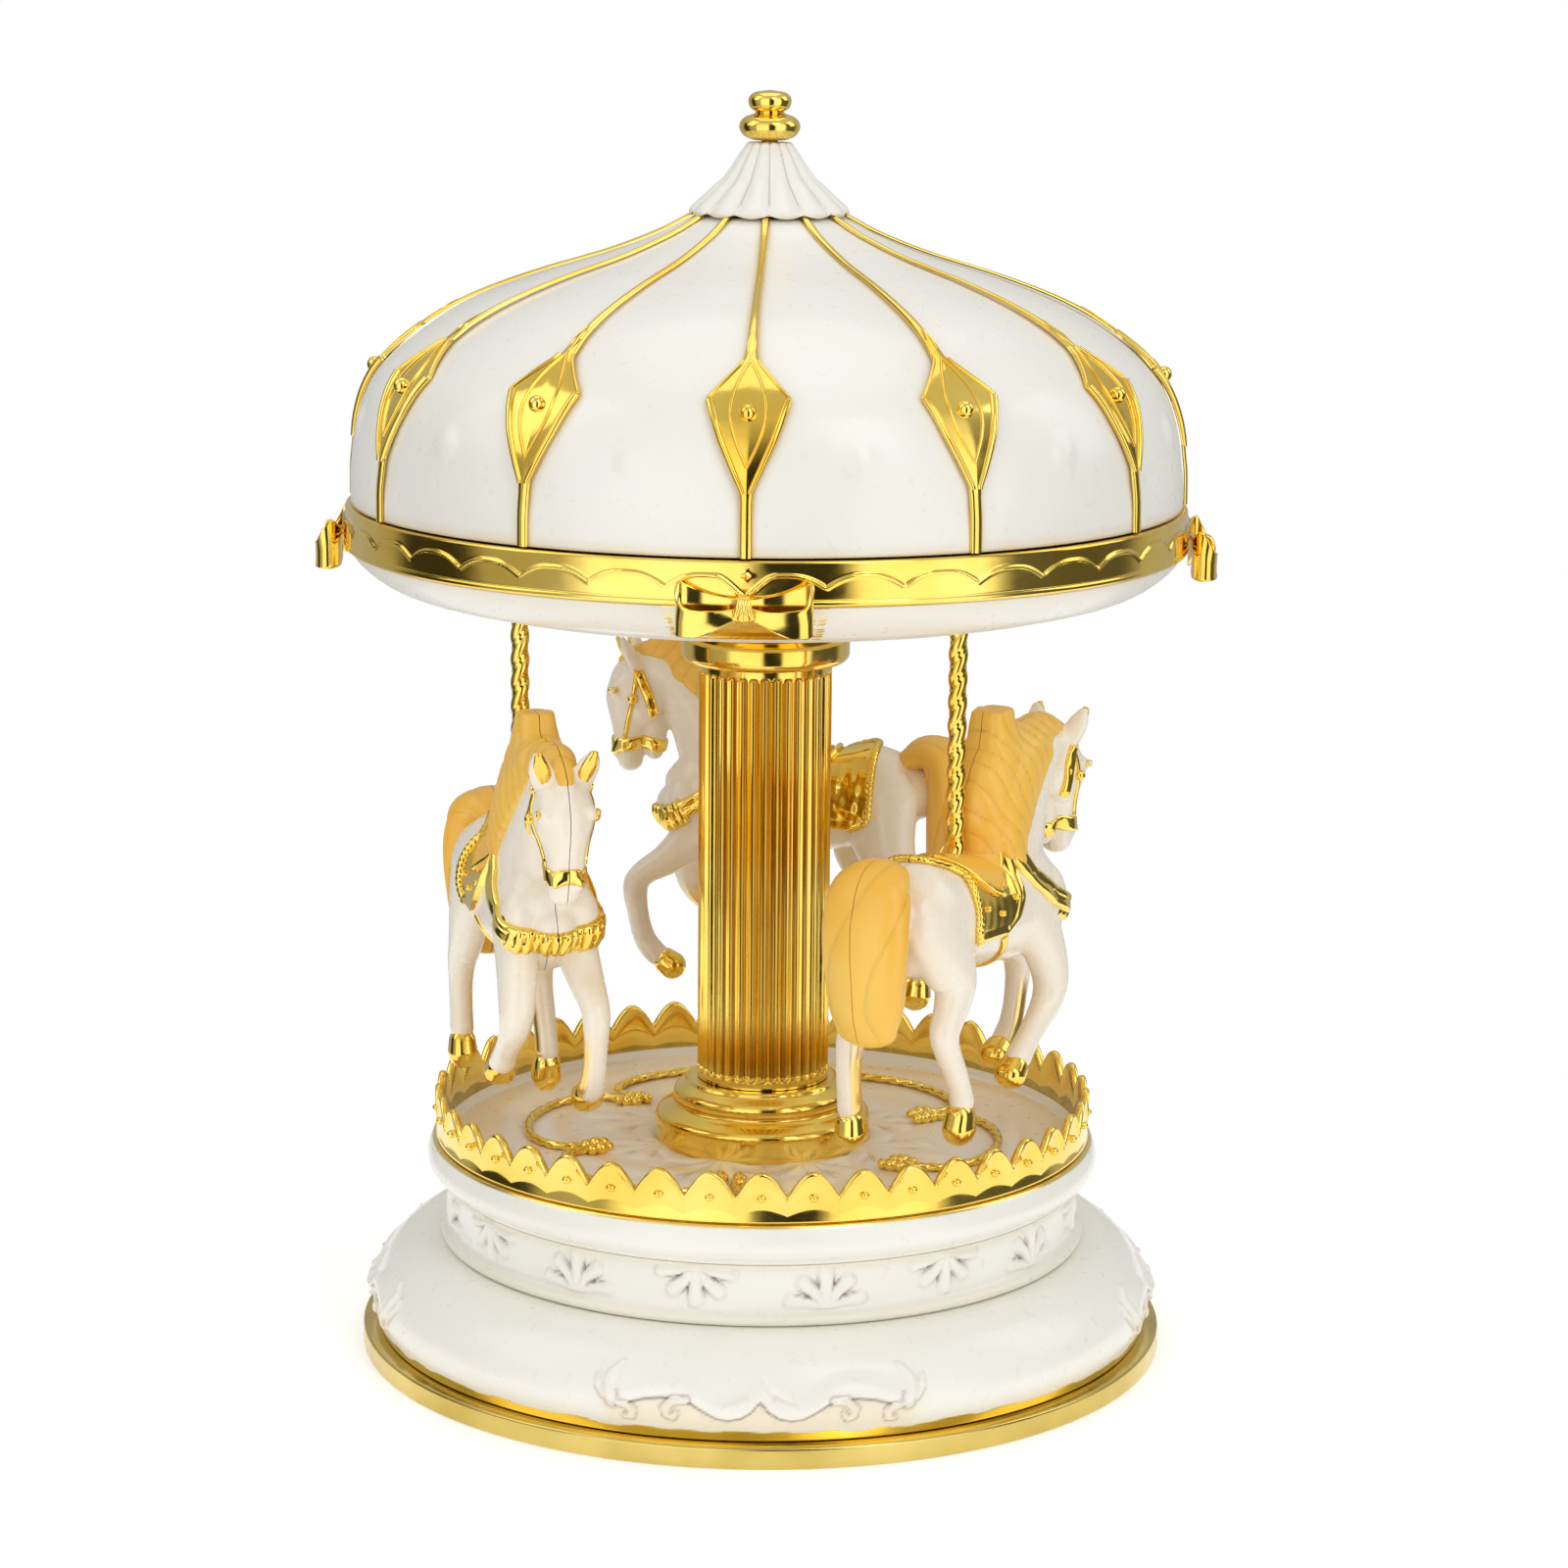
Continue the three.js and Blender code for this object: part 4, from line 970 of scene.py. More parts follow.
def ribbon_bows():
    """Ribbon bows on the canopy's band: two open loops of upright ribbon and a pleated knot."""
    for index, name in enumerate(BOWS):
        out, side = compass(CANOPY_PHASE + index * math.pi / 2)
        build = Build()
        for way in (-1, 1):
            build.gilt(bow_loop(way, out, side))
            for aside, bottom in ((0.25, 128.7), (0.85, 129.0)):
                pleat = [
                    (69.0, aside, bottom), (70.1, aside * 1.5, 129.6), (70.45, aside, 130.8),
                    (69.9, aside * 0.6, 132.1), (68.7, aside * 0.5, 132.4),
                ]
                path = [r * out + way * u * side + np.array([0, 0, z]) for r, u, z in curve(pleat, 24)]
                build.gilt(tube(np.array(path), 0.42, 10, side))
        build.object(f"ribbon_bow_{name}", "canopy", [f"bow_{name}"], "gold_plating", smooth_angle=50)


def cap_and_finial():
    outline = [
        (1.6, 183.3), (10.4, 183.3), (11.9, 182.25), (12.35, 182.1), (12.5, 182.5), (12.1, 183.2),
        (11.0, 184.2), (9.9, 185.2), (8.5, 186.5), (7.2, 187.6), (5.9, 189.4), (4.9, 191.0),
        (4.0, 192.3), (3.4, 193.15), (1.6, 193.2),
    ]

    def pleats(angle, radius, height):
        fold = np.abs(np.cos(7 * angle)) ** 0.8
        share = smooth_step(radius, 2.5, 9)
        depth = (0.85 * fold - 0.75) * (0.35 + 0.65 * share) * (radius > 2.5)
        hem = (height < 183.0) & (radius > 9)
        # Painted shade darkens the pleats' valleys.
        wash = 0.4 * np.exp(-(fold / 0.16) ** 2) * smooth_step(height, 182.6, 184)
        tint = 0.25 * (1 - smooth_step(height, 182.0, 183.4))
        return np.where(hem, depth * 0.8, depth), {"wash": wash, "tint": tint}

    turned(
        "cap_pleats", outline, IVORY, columns=448, step=0.35, relief=pleats,
        body="canopy", replaces=["pleated_cap"], slot="ivory_enamel",
    )
    turned(
        "finial_balls",
        [
            (0, 184.6), (1.3, 184.6), (1.3, 193.5), (2.6, 193.5, 0.3), (3.9, 194.0, 0.5),
            (4.75, 195.0, 0.8), (4.75, 196.2, 0.8), (3.9, 197.1, 0.6), (2.3, 197.6, 0.4),
            (2.2, 197.9, 0.2), (3.0, 198.3, 0.5), (3.4, 199.2, 0.7), (3.3, 200.2, 0.7),
            (2.4, 200.9, 0.6), (0, 201.2),
        ],
        GOLD, columns=96, step=0.25, body="canopy", replaces=["finial"], slot="gold_plating",
    )


turned(
    "canopy_tray_shell",
    [
        (9, 122.4), (49.5, 122.4, 4), (60.4, 125.1, 3), (64.6, 128.4, 2.5), (65.8, 130.4, 0.3),
        (64.2, 130.4), (59.8, 126.6, 2), (49.4, 123.6, 2), (9, 123.6),
    ],
    IVORY, columns=720, step=0.6, relief=tray_relief,
    body="canopy", replaces=["canopy_tray"], slot="ivory_enamel",
)
turned(
    "canopy_rim",
    [
        (64.3, 130.5), (66.3, 130.5, 0.3), (66.65, 130.9, 0.3), (66.6, 131.3, 0.15),
        (66.35, 131.5, 0.15), (66.35, 136.6, 0.2), (66.2, 137.15, 0.3), (65.6, 137.2, 0.2),
        (64.3, 137.2),
    ],
    GOLD, columns=1440, step=0.2, relief=band_relief,
    body="canopy", replaces=["canopy_band"], slot="gold_plating",
)
canopy_dome()
canopy_ribs()
ribbon_bows()
cap_and_finial()


# ---------------------------------------------------------------- horses

def loft(sections, sides=28, ends=True, square=2.0):
    """A closed limb through sections of x, y, z, half width across and half depth, with rounded ends."""
    rows = np.asarray(sections, float)
    rows = curve(rows, (len(rows) - 1) * 5 + 1)
    centre, across, deep = rows[:, :3], np.maximum(rows[:, 3], 0.1), np.maximum(rows[:, 4], 0.1)
    tangent = unit(np.gradient(centre, axis=0))
    if ends:
        share = np.array([0.97, 0.85, 0.6, 0.3])
        scale = np.sqrt(1 - share ** 2)
        start = centre[0] - tangent[0] * (share * deep[0])[:, None]
        stop = centre[-1] + tangent[-1] * (share[::-1] * deep[-1])[:, None]
        centre = np.vstack([start, centre, stop])
        across = np.concatenate([across[0] * scale, across, across[-1] * scale[::-1]])
        deep = np.concatenate([deep[0] * scale, deep, deep[-1] * scale[::-1]])
        tangent = np.vstack([np.repeat(tangent[:1], 4, 0), tangent, np.repeat(tangent[-1:], 4, 0)])
    side = unit(np.array([0.0, 1.0, 0.0]) - tangent[:, 1:2] * tangent)
    over = np.cross(tangent, side)
    angle = full_turn(sides)
    c, s = np.cos(angle), np.sin(angle)
    round_ = (np.abs(c) ** square + np.abs(s) ** square) ** (-1 / square)
    return (
        centre[:, None, :]
        + (across[:, None] * (c * round_))[..., None] * side[:, None, :]
        + (deep[:, None] * (s * round_))[..., None] * over[:, None, :]
    )


def fused(name, grids, voxel, smoothing):
    """Joins closed limbs into one smooth skin."""
    build = Build()
    for grid in grids:
        build.grid(grid, PEARL, capped=True)
    shape = build.object(name)
    remesh = shape.modifiers.new("skin", "REMESH")
    remesh.mode = "VOXEL"
    remesh.voxel_size = voxel * MM
    smooth = shape.modifiers.new("soften", "SMOOTH")
    smooth.factor = 0.5
    smooth.iterations = smoothing
    bpy.context.view_layer.update()
    data = bpy.data.meshes.new_from_object(shape.evaluated_get(bpy.context.evaluated_depsgraph_get()))
    bpy.data.objects.remove(shape)
    points = np.zeros(len(data.vertices) * 3)
    data.vertices.foreach_get("co", points)
    normals = np.zeros(len(data.vertices) * 3)
    data.vertices.foreach_get("normal", normals)
    faces = [list(face.vertices) for face in data.polygons]
    bpy.data.meshes.remove(data)
    return points.reshape(-1, 3) / MM, normals.reshape(-1, 3), faces


def mirrored(section):
    return [(x, -y, z, a, b) for x, y, z, a, b in section]


TRUNK = [
    (-18.6, 0, 80.4, 4.6, 4.8), (-16.6, 0, 80.1, 6.8, 7.5), (-13, 0, 79.4, 8.1, 9.0),
    (-7, 0, 78.8, 8.2, 8.4), (-1, 0, 77.8, 8.1, 8.2), (5, 0, 77.4, 8.2, 8.7), (11, 0, 77.9, 8.1, 9.9),
    (17, 0, 78.0, 7.6, 9.4), (20.4, 0, 77.4, 6.3, 6.9), (21.9, 0, 76.6, 4.0, 4.0),
]
NECK = [
    (10, 0, 82, 6.8, 8.4), (14, 0, 87, 6.0, 8.2), (17.4, 0, 92.4, 5.0, 6.7), (20.8, 0, 96.8, 4.3, 5.5),
    (24.6, 0, 99.6, 3.9, 4.4), (27.4, 0, 99.9, 3.6, 3.4),
]
HEAD = [
    (28.0, 0, 100.4, 3.6, 3.2), (28.9, 0, 97.6, 4.7, 4.8), (29.3, 0, 94.8, 4.7, 5.4),
    (29.8, 0, 91.6, 3.7, 4.5), (30.4, 0, 88.6, 3.1, 3.1), (30.7, 0, 86.2, 3.0, 2.5),
    (30.4, 0, 84.2, 2.7, 2.2),
]
JAW = [(27.2, 0, 93.5, 3.0, 3.0), (26.4, 0, 90.2, 2.5, 2.4), (26.0, 0, 87.4, 2.2, 1.8),
    (26.2, 0, 85.6, 1.9, 1.5)]
FORE_LEFT = [
    (15.0, 4.4, 76, 3.4, 5.2), (19.0, 4.8, 71.4, 3.2, 3.9), (23.0, 5.2, 68.0, 2.8, 2.8),
    (26.8, 5.4, 65.6, 2.4, 2.2), (28.4, 5.4, 63.2, 2.2, 2.2), (28.0, 5.4, 58.8, 1.9, 1.85),
    (26.9, 5.4, 54.4, 1.95, 1.9), (25.2, 5.4, 51.9, 2.2, 2.0), (23.6, 5.4, 50.7, 2.1, 1.8),
]
FORE_RIGHT = [
    (15, -4.4, 76, 3.4, 5.2), (19, -4.9, 69.6, 3.2, 4.0), (20.7, -5.3, 64.4, 2.9, 3.1),
    (19.8, -5.4, 60.9, 2.6, 2.5), (16.8, -5.4, 58.0, 2.2, 2.05), (13.6, -5.4, 55.5, 2.0, 1.9),
    (11.4, -5.4, 53.5, 2.2, 2.1), (9.9, -5.4, 52.2, 2.2, 1.9),
]
HIND_STEPPING = [
    (-12.5, -4.4, 79, 3.9, 7.2), (-9.8, -5.0, 73, 3.6, 5.6), (-7.9, -5.3, 69, 3.1, 4.0),
    (-9.2, -5.4, 65, 2.6, 3.0), (-11.0, -5.4, 61.8, 2.3, 2.6), (-9.9, -5.4, 58.6, 2.1, 2.15),
    (-8.0, -5.4, 55.4, 2.0, 2.0), (-6.1, -5.4, 51.7, 1.9, 1.9), (-5.5, -5.4, 49.7, 2.0, 2.1),
]
HIND_STRETCHED = [
    (-13, 4.4, 79, 3.9, 7.2), (-14.4, 5.0, 72.4, 3.5, 5.4), (-16.8, 5.3, 66.6, 2.9, 3.8),
    (-19.8, 5.4, 62.2, 2.4, 2.8), (-21.0, 5.4, 58.2, 2.05, 2.1), (-20.8, 5.4, 53.4, 1.95, 1.95),
    (-20.4, 5.4, 50.2, 2.05, 2.1),
]
FORE_HOOVES = [
    [(23.2, 5.4, 50.4, 2.3, 2.05), (21.9, 5.4, 49.5, 2.5, 2.25)],
    [(9.9, -5.4, 52.0, 2.3, 2.05), (8.7, -5.4, 50.9, 2.5, 2.25)],
]
HIND_HOOVES = [
    [(-5.8, -5.4, 47.6, 2.2, 2.35), (-6.2, -5.4, 45.6, 2.4, 2.7)],
    [(-20.2, 5.4, 48.2, 2.2, 2.35), (-20.0, 5.4, 46.5, 2.4, 2.7)],
]
EAR = [(28.2, 2.4, 99.4, 1.7, 1.6), (29.2, 3.1, 101.6, 2.05, 1.25), (30.3, 3.9, 103.8, 1.85, 0.95),
    (31.0, 4.4, 105.6, 1.0, 0.6)]
CREST = [
    (31.5, 0, 101.2, 1.3, 1.0), (28.6, 0, 102.6, 2.2, 1.7), (24.5, 0, 102.9, 3.2, 3.0),
    (20.0, 0, 101.8, 4.0, 3.6), (15.5, 0, 101.0, 4.5, 4.4), (11.0, 0, 99.6, 4.9, 5.4),
    (8.0, 0, 95.6, 5.6, 5.4), (6.2, 0, 91.0, 5.9, 4.8), (5.2, 0, 87.6, 5.2, 3.2),
]
TUFT = [(11.4, 0, 97.0, 5.6, 6.0), (10.9, 0, 101.0, 4.7, 4.9), (10.5, 0, 104.6, 3.5, 3.7),
    (10.4, 0, 108.4, 2.9, 2.9)]
NEAR_PANEL = [(18.3, -3.3, 101.2, 1.6, 3.0), (13.6, -4.2, 97.4, 1.7, 4.4), (10.0, -5.0, 92.6, 1.7, 4.4),
    (8.2, -5.6, 88.4, 1.4, 3.2)]
NEAR_LOCK = [
    (21.0, -2.9, 100.6, 1.6, 2.4), (16.0, -3.8, 96.8, 1.6, 3.0), (12.0, -4.6, 92.4, 1.5, 2.8),
    (9.4, -5.3, 88.6, 1.4, 2.4), (9.6, -6.0, 85.6, 1.1, 1.6), (11.0, -6.1, 84.2, 0.8, 1.0),
]
FAR_LOCK = [(21.0, 2.9, 100.6, 1.6, 2.4), (16.0, 3.9, 98.2, 1.8, 3.2), (11.5, 5.0, 93.6, 1.7, 3.4),
    (8.8, 5.8, 89.6, 1.3, 2.2)]
FORELOCK = [(28.4, 0, 102.6, 1.5, 1.1), (31.2, 0.1, 101.2, 1.3, 0.9), (33.2, 0.1, 98.8, 0.9, 0.6),
    (33.9, 0.1, 96.8, 0.45, 0.35)]
TAIL = [
    (-17.6, 0, 85.8, 2.8, 2.0), (-20.4, 0, 87.2, 4.8, 2.9), (-23.4, 0, 85.9, 6.6, 3.9),
    (-24.9, 0, 81.8, 7.2, 4.2), (-25.0, 0, 76.8, 7.2, 4.2), (-24.8, 0, 71.8, 6.8, 3.9),
    (-24.6, 0, 67.4, 6.2, 3.6), (-24.4, 0, 64.6, 5.3, 2.9),
]


BACK_AXIS = 78.2
CLEAR_OF_SKIN = 22
# Swellings on each side of the body: brow, nostril, cheek and shoulder, as place, radii, rings and sides.
BULGES = [
    ((32.2, 3.5, 96.6), (1.5, 1.3, 1.3), 10, 16),
    ((32.2, 1.7, 85.6), (1.1, 1.0, 1.1), 10, 16),
    ((27.2, 3.0, 94.4), (3.0, 1.9, 3.4), 12, 18),
    ((19.5, 4.4, 77.0), (4.2, 3.6, 6.0), 14, 20),
]


class Skin:
    """The horse's body as a surface that harness can lie on."""

    def __init__(self, points, faces):
        self.tree = BVHTree.FromPolygons([Vector(p) for p in points], faces)

    def nearest(self, point):
        where, normal, _, _ = self.tree.find_nearest(Vector(point))
        return np.array(where), np.array(normal)

    def ray(self, origin, direction):
        where, normal, _, _ = self.tree.ray_cast(Vector(origin), Vector(direction))
        if where is None:
            return self.nearest(origin + direction * CLEAR_OF_SKIN)
        return np.array(where), np.array(normal)


def strap(skin, path, width, height, ripple=None, across=11, count=90):
    """A band that lies on the skin along a path, domed across, with an optional ripple along it."""
    line = curve([skin.nearest(p)[0] for p in path], count)
    tangent = unit(np.gradient(line, axis=0))
    run = run_along(line)
    places = np.linspace(-1, 1, across)
    rings = []
    for i, (point, ahead) in enumerate(zip(line, tangent)):
        _, normal = skin.nearest(point)
        side = np.cross(ahead, normal)
        side /= np.linalg.norm(side)
        ring, base = [], []
        for place_ in places:
            where, out = skin.nearest(point + side * place_ * width / 2)
            dome = math.sqrt(max(0, 1 - place_ ** 4))
            rise = height * dome * (ripple(run[i], place_) if ripple else 1)
            ring.append(where + out * rise)
            base.append(where - out * 0.35)
        rings.append(ring + base[::-1])
    return np.array(rings)


def saddle_point(skin, along, angle):
    """The skin's point and normal at a distance along the back, and an angle round it from the top."""
    out = np.array([0, math.sin(angle), math.cos(angle)])
    centre = np.array([along, 0, BACK_AXIS])
    return skin.ray(centre + out * CLEAR_OF_SKIN, -out)


def saddle_patch(skin, edge, rise, rows=56, columns=30):
    """A cloth over the back. edge(degrees) gives its rear and front, and rise() its thickness."""
    angles = np.radians(np.linspace(-edge.reach, edge.reach, rows))
    grid = []
    for row, angle in enumerate(angles):
        rear, front = edge(math.degrees(angle))
        line = []
        for column in range(columns):
            u = column / (columns - 1)
            v = abs(math.degrees(angle)) / edge.reach
            along = rear + (front - rear) * u
            where, out = saddle_point(skin, along, angle)
            on_border = row in (0, rows - 1) or column in (0, columns - 1)
            line.append(where + out * (-0.3 if on_border else rise(u, v, along, angle)))
        grid.append(line)
    return np.array(grid)


def outline_edge(reach, rears, fronts, inner_rears=None):
    """A saddle piece's rear and front edges against the angle round the back, in degrees."""

    def edge(angle):
        back = inner_rears if inner_rears and angle > 0 else rears
        return tuple(np.interp(abs(angle), *zip(*line)) for line in (back, fronts))

    edge.reach = reach
    return edge


CLOTH_EDGE = outline_edge(
    112,
    [(0, -12.5), (10, -11.6), (22, -7.6), (34, -5.6), (60, -6.2), (95, -6.2), (112, -5.0)],
    [(0, 8.0), (20, 7.4), (50, 7.8), (75, 7.6), (95, 5.6), (112, 1.2)],
    [(0, -12.5), (30, -12.3), (60, -12.2), (95, -12.0), (104, -11.2), (112, -8.5)],
)
SEAT_EDGE = outline_edge(
    66,
    [(0, -5.4), (30, -4.6), (48, -3.4), (60, -1.8), (66, 0.6)],
    [(0, 5.8), (30, 5.6), (48, 5.0), (60, 3.6), (66, 1.4)],
)


def cloth_rise(u, v, along, angle):
    border = max(bead(np.array(1 - u - 0.06) * 13, 1.0), bead(np.array(1 - v - 0.045) * 22, 0.9))
    height = 0.16 if angle > 0 else 0.03
    leaf = height * math.sin(along * 1.9 + angle * 6) * math.sin(angle * 10 - along * 0.9)
    worked = smooth_step(v, 0.2, 0.4) * (1 - 0.6 * u)
    return 0.45 + 0.45 * float(border) + leaf * float(worked)


def seat_rise(u, v, along, angle):
    return 0.75 + 0.75 * math.sqrt(max(0, 1 - (2 * u - 1) ** 2)) * math.sqrt(max(0, 1 - v ** 2))


def hind_of(stretched, shapes):
    """Hind legs or hooves, swapped over on a horse that stretches its right leg back."""
    return [mirrored(shape) for shape in shapes] if stretched < 0 else shapes


def add_body(build, stretched):
    """The ivory skin, gilt on the insides of the legs with a mist at the gilding's edge, and peach painted
    shade low on the faces that point up or down.
    """
    legs = [FORE_LEFT, FORE_RIGHT] + hind_of(stretched, [HIND_STEPPING, HIND_STRETCHED])
    limbs = [loft(sections) for sections in [TRUNK, NECK, HEAD, JAW] + legs]
    limbs += [loft(EAR, 16), loft(mirrored(EAR), 16), loft(FORELOCK, 16)]
    for side in (-1, 1):
        limbs += [ball_grid((x, side * y, z), *shape) for (x, y, z), *shape in BULGES]
    points, normals, faces = fused("horse_skin", limbs, 0.42, 12)
    inward = -normals[:, 1] * np.sign(points[:, 1])
    leg = 1 - smooth_step(points[:, 2], 57.5, 63.5)
    gold = 0.85 * smooth_step(inward, 0.50, 0.85) * leg
    # Painted shade: a peach tint on the low faces that point up or down, the belly's underside most.
    under = (1 - smooth_step(points[:, 2], 68, 74)) * smooth_step(np.abs(normals[:, 2]), 0.5, 0.9)
    peach_tint = 0.28 * np.exp(-((inward - 0.25) / 0.22) ** 2) * leg + 0.20 * under
    build.mesh(points, faces, PEARL, gold=gold, tint=np.clip(peach_tint, 0, 1))
    return Skin(points, faces)


def add_hair(build):
    """The mane and the tail, both combed."""
    locks = [loft(sections, 24) for sections in (CREST, NEAR_LOCK, NEAR_PANEL, FAR_LOCK)]
    locks.append(loft(TUFT, 24, ends=False, square=3.2))
    hair, normals, faces = fused("mane", locks, 0.40, 5)
    flow = hair[:, 0] * 0.8 + hair[:, 2] * 0.45 + 0.5 * np.sin(hair[:, 2] * 0.55)
    groove = np.abs(np.sin(flow * 1.35)) ** 0.6
    hair = hair + normals * (0.26 * (groove - 0.7))[:, None]
    # Painted shade in the mane's grooves.
    build.mesh(hair, faces, AMBER, wash=0.30 * np.clip(1 - groove * 2.4, 0, 1))

    tail = loft(TAIL, 96)
    rows = np.linspace(0, 1, tail.shape[0])[:, None]
    bend = 1.9 * np.sin(rows * 5.6 + 0.6)
    strand = np.abs(np.sin(2.5 * full_turn(96)[None, :] + bend + 0.4)) ** 0.5
    fade = between(rows, 0.05, 0.3, 0.93, 1.0)
    middle = tail.mean(axis=1, keepdims=True)
    tail = middle + (tail - middle) * (1 + 0.06 * (strand - 0.75) * fade)[..., None]
    # Painted shade in the tail's grooves.
    build.grid(tail, AMBER, capped=True, wash=0.25 * np.clip(1 - strand * 2.2, 0, 1) * fade)


def add_hooves(build, stretched):
    hooves = FORE_HOOVES + hind_of(stretched, HIND_HOOVES)
    for hoof in hooves:
        build.gilt(loft(hoof, 24, square=2.6))
    for x, y, z, _, _ in (hoof[0] for hoof in hooves):
        build.gilt(ball_grid((x - 1.7, y, z + 0.6), (0.7, 1.0, 0.7)))


def pleated(run, place_):
    """How high the collar's plate stands: folds along it, skewed a little."""
    return 0.62 + 0.55 * abs(math.sin(2.6 * place_ + 0.25 * math.sin(run)))


def gadrooned(run, place_):
    """How high the breast strap stands: round lobes that fade out at both ends."""
    lobes = 0.55 + 0.55 * abs(math.sin(run * 2.15 + 0.5 * place_)) ** 0.7
    return lobes * float(between(run, 0, 5, 21, 26))


def add_harness(build, skin):
    """Nose band, cheek and jaw straps, eyes, gilt ears, collar, girth and breast strap."""
    nose = [(30.6 + 5 * math.cos(a), 5 * math.sin(a), 87.0) for a in np.linspace(0, TURN, 17)]
    build.gilt(strap(skin, nose, 2.5, 0.4))
    for side in (-1, 1):
        def on_side(points):
            return [(x, side * y, z) for x, y, z in points]

        cheek = [(31.0, 4, 88.4), (30.2, 5, 91.4), (29.2, 6, 94.6), (28.6, 6, 97.6), (28.2, 5, 100.2)]
        build.gilt(strap(skin, on_side(cheek), 0.9, 0.35, across=7))
        jaw = [(28.0, 5, 100.0), (26.4, 6, 97.4), (25.4, 6, 94.6), (25.0, 5, 92.2)]
        build.gilt(strap(skin, on_side(jaw), 1.9, 0.5))
        where, out = skin.nearest((29.0, side * 6, 95.4))
        build.gilt(ball_grid(where + out * 0.3, (0.9, 0.9, 0.9)))
        where, out = skin.nearest((32.6, side * 6, 96.8))
        build.gilt(ball_grid(where + out * 0.02, (0.95, 0.45, 0.6)))
        build.grid(ball_grid(where + out * 0.22, (0.62, 0.34, 0.38)), PEARL, capped=True)
        inner = [(x + 0.75, side * (y - 0.1), z + 0.1, a * 0.62, b * 0.55) for x, y, z, a, b in EAR]
        build.gilt(loft(inner, 14))
        collar = [
            (23.4, 4.6, 75.6), (20.4, 8, 77.0), (16.6, 9, 79.4), (12.4, 9, 82.8), (8.6, 6, 86.4),
            (6.8, 0.2, 88.2),
        ]
        build.gilt(strap(skin, on_side(collar), 3.3, 0.75, pleated))
        girth = [(2.4, 8, 74.6), (3.6, 7.4, 71.6), (4.0, 4.6, 68.8), (4.0, 0.1, 67.6)]
        build.gilt(strap(skin, on_side(girth), 1.7, 0.45, across=7, count=50))
    half = [(19.4, 9, 77.2), (22.0, 6.6, 75.6), (24.4, 3, 74.8)]
    chest = [(x, -y, z) for x, y, z in half] + [(25.6, 0, 74.6)] + half[::-1]
    build.gilt(strap(skin, chest, 4.6, 0.95, gadrooned, across=13, count=220))


def add_saddle(build, skin):
    """The cloth with its rope edge, the seat with its rim, and studs."""
    build.grid(saddle_patch(skin, CLOTH_EDGE, cloth_rise, 90, 40), GOLD, loop_columns=False)
    build.grid(saddle_patch(skin, SEAT_EDGE, seat_rise, 50, 26), AMBER, loop_columns=False)
    border = []
    for degrees in np.linspace(-CLOTH_EDGE.reach, CLOTH_EDGE.reach, 150):
        where, out = saddle_point(skin, CLOTH_EDGE(degrees)[0], math.radians(degrees))
        border.append(where + out * 0.45)
    build.gilt(rope_grid(np.array(border), 0.72, 0.9, 3, 12, (1, 0, 0)))
    rim = []
    for t in np.linspace(0, TURN, 121):
        degrees = 64 * math.cos(t)
        rear, front = SEAT_EDGE(degrees)
        along = (rear + front) / 2 + (front - rear) / 2 * 1.12 * math.sin(t)
        where, out = saddle_point(skin, along, math.radians(degrees))
        rim.append(where + out * 0.85)
    build.gilt(rope_grid(np.array(rim), 0.55, 40, 1, 10, (1, 0, 0)))
    for side in (-1, 1):
        for along, degrees in ((5.2, 74), (0.6, 86), (-3.6, 76)):
            where, out = saddle_point(skin, along, side * math.radians(degrees))
            build.gilt(ball_grid(where + out * 0.6, (0.5, 0.5, 0.5), 12, 18))


def horse_build(stretched):
    """
    The whole horse, in its own frame: forwards is +X, its left is +Y, and the pole is the Z axis.
    It stretches its left hind leg back if stretched is 1, and its right if it is -1.
    """
    build = Build()
    skin = add_body(build, stretched)
    add_hair(build)
    add_hooves(build, stretched)
    add_harness(build, skin)
    add_saddle(build, skin)
    return build


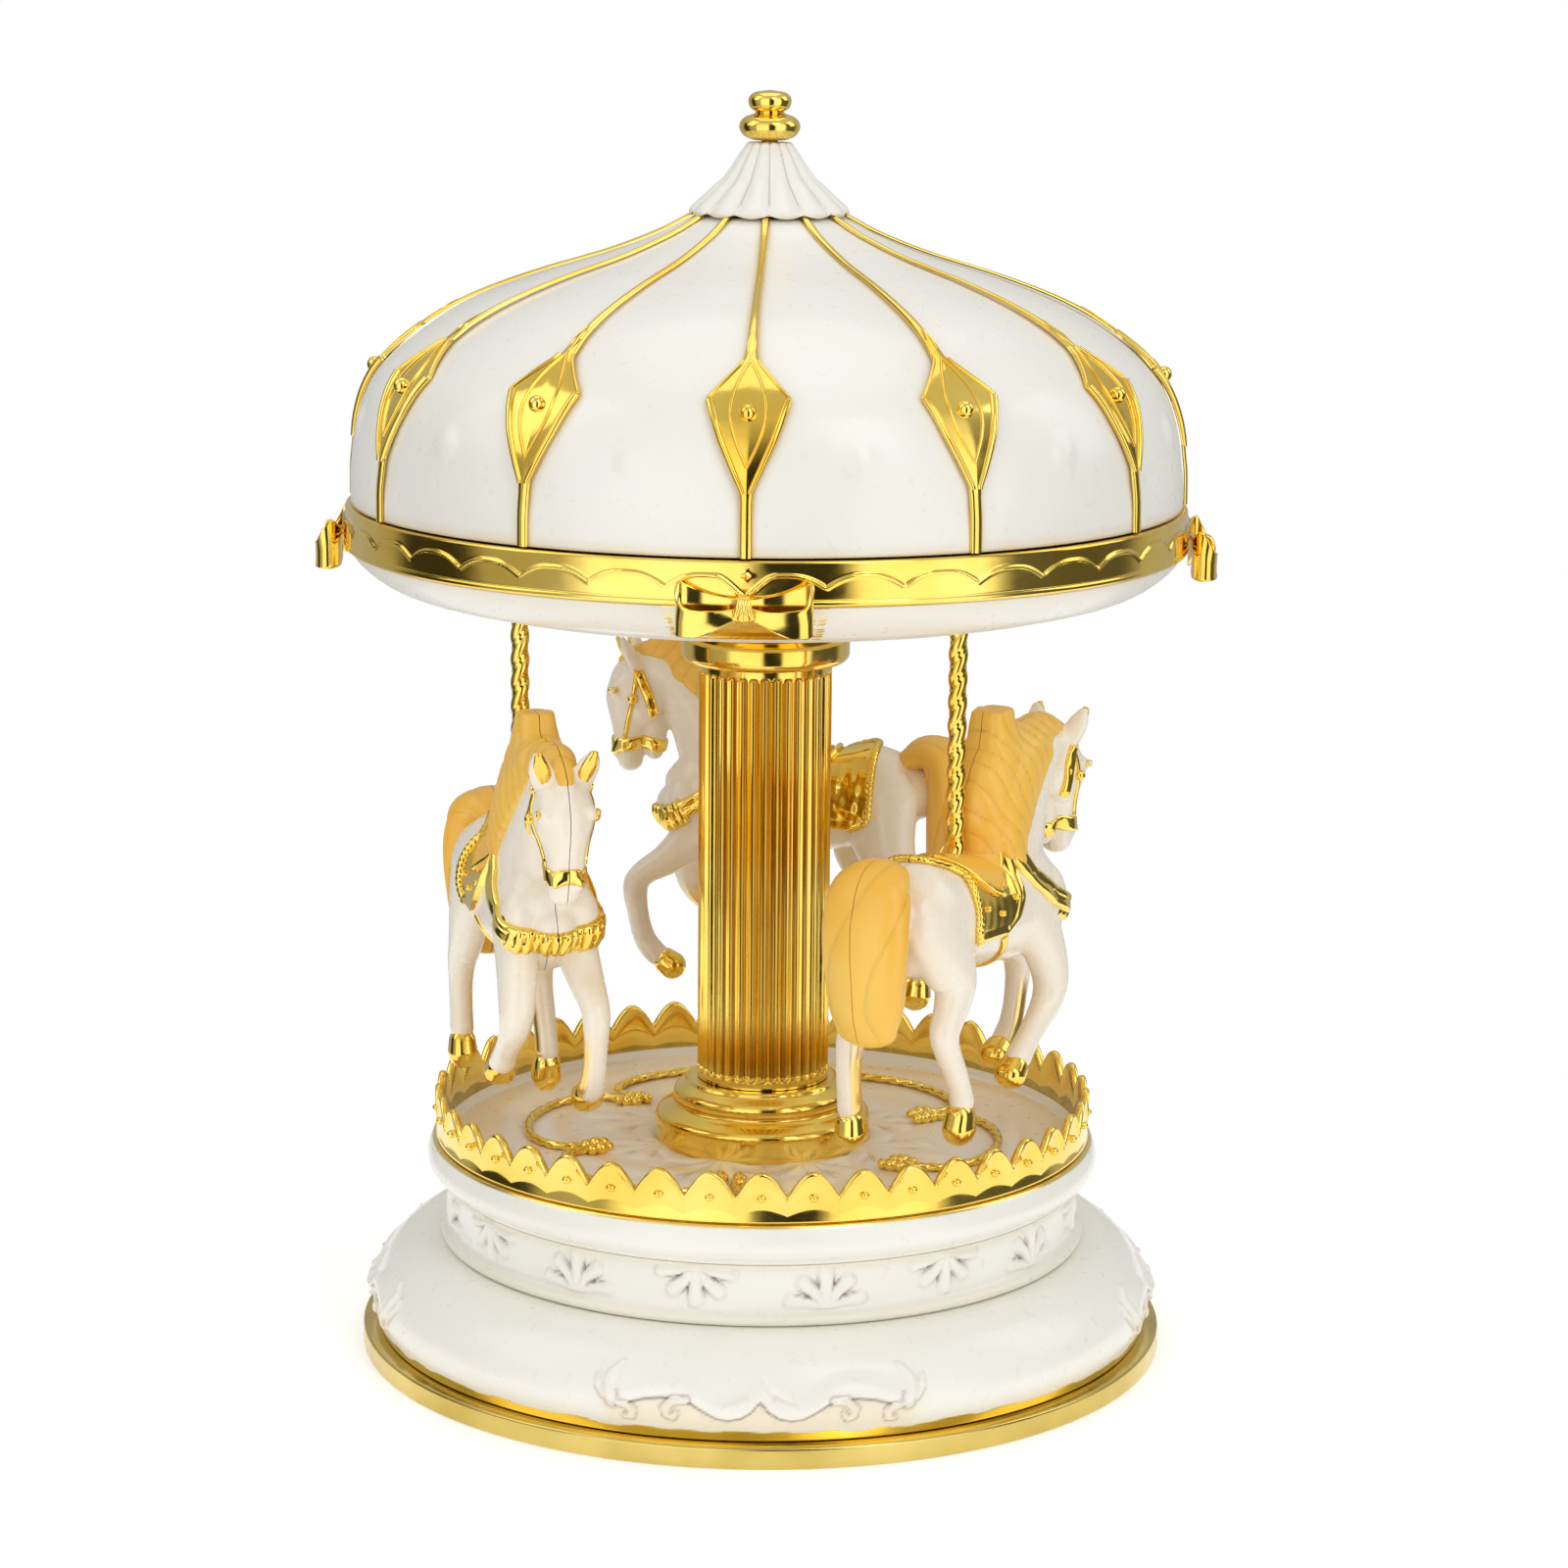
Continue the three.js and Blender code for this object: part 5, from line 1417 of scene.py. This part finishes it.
def halves_of(build):
    """The two moulded halves of the horse, parted by a hairline at its middle plane."""
    whole = build.object("horse_whole")
    halves = {}
    for key, side in (("near", -1), ("far", 1)):
        mesh = bmesh.new()
        mesh.from_mesh(whole.data)
        everything = mesh.verts[:] + mesh.edges[:] + mesh.faces[:]
        cut = bmesh.ops.bisect_plane(
            mesh, geom=everything, dist=1e-7, clear_inner=True,
            plane_co=(0, side * 0.07 * MM, 0), plane_no=(0, side, 0),
        )
        rim = [e for e in cut["geom_cut"] if isinstance(e, bmesh.types.BMEdge)]
        bmesh.ops.holes_fill(mesh, edges=[e for e in rim if e.is_boundary], sides=0)
        data = bpy.data.meshes.new(f"horse_{key}")
        mesh.to_mesh(data)
        mesh.free()
        for material in whole.data.materials:
            data.materials.append(material)
        data.shade_smooth()
        data.set_sharp_from_angle(angle=math.radians(55))
        halves[key] = data
    bpy.data.objects.remove(whole)
    return halves


def pole_grid(lift):
    """A twisted pole of two round strands with a thin cord laid in each valley, ending in a point below."""
    height = np.arange(55.2, 150.01, 0.30)
    angle = full_turn(36)
    phase = angle[None, :] - TURN * height[:, None] / 7.4
    strands = 0.70 + 0.30 * np.abs(np.cos(phase)) ** 1.1
    cords = 0.62 + 0.25 * np.abs(np.sin(phase)) ** 8
    point = np.clip((height - 55.2) / 5.2, 0.02, 1)[:, None] ** 0.75
    return around(1.5 * np.maximum(strands, cords) * point, angle, height[:, None] + lift)


def horses():
    moulds = {way: halves_of(horse_build(way)) for way in (1, -1)}
    for name, (azimuth, turn_, stretched) in HORSES.items():
        lift = CAM_LIFT * math.cos(2 * math.radians(azimuth - 80))
        at = Vector(POLE_CIRCLE * compass(math.radians(azimuth))[0] + [0, 0, lift])
        heading = math.radians(azimuth + 90 + turn_)
        matrix = Matrix.Translation(at * MM) @ Matrix.Rotation(heading, 4, "Z")
        for key, data in moulds[stretched].items():
            piece = bpy.data.objects.new(f"horse_{name}_{key}_shell", data)
            piece.matrix_world = matrix
            place(piece, f"horse_{name}", [f"horse_{name}_{key}_half"], "ivory_enamel")
        build = Build()
        build.gilt(pole_grid(lift) + [at.x, at.y, 0])
        build.object(f"twisted_pole_{name}", f"horse_{name}", [f"pole_{name}"], "gold_plating")


horses()


# ---------------------------------------------------------------- the pieces that stay as the frame has them

FINISHES = {
    STEEL: ("cover_screw", "music_comb", "comb_screw", "governor_fly", "drive_shaft", "wind_key"),
    BRASS: ("shaft_bush", "music_cylinder", "governor_wheel", "spring_barrel", "pole_bush"),
    CASTING: ("movement_bedplate", "cylinder_bearing", "governor_frame"),
    MOULDED: ("bottom_cover", "cam_ring", "canopy_hub", "cam_follower"),
}
for material, starts in FINISHES.items():
    for node_name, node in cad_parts.items():
        if node_name.startswith(starts):
            node.data.materials.clear()
            node.data.materials.append(material)
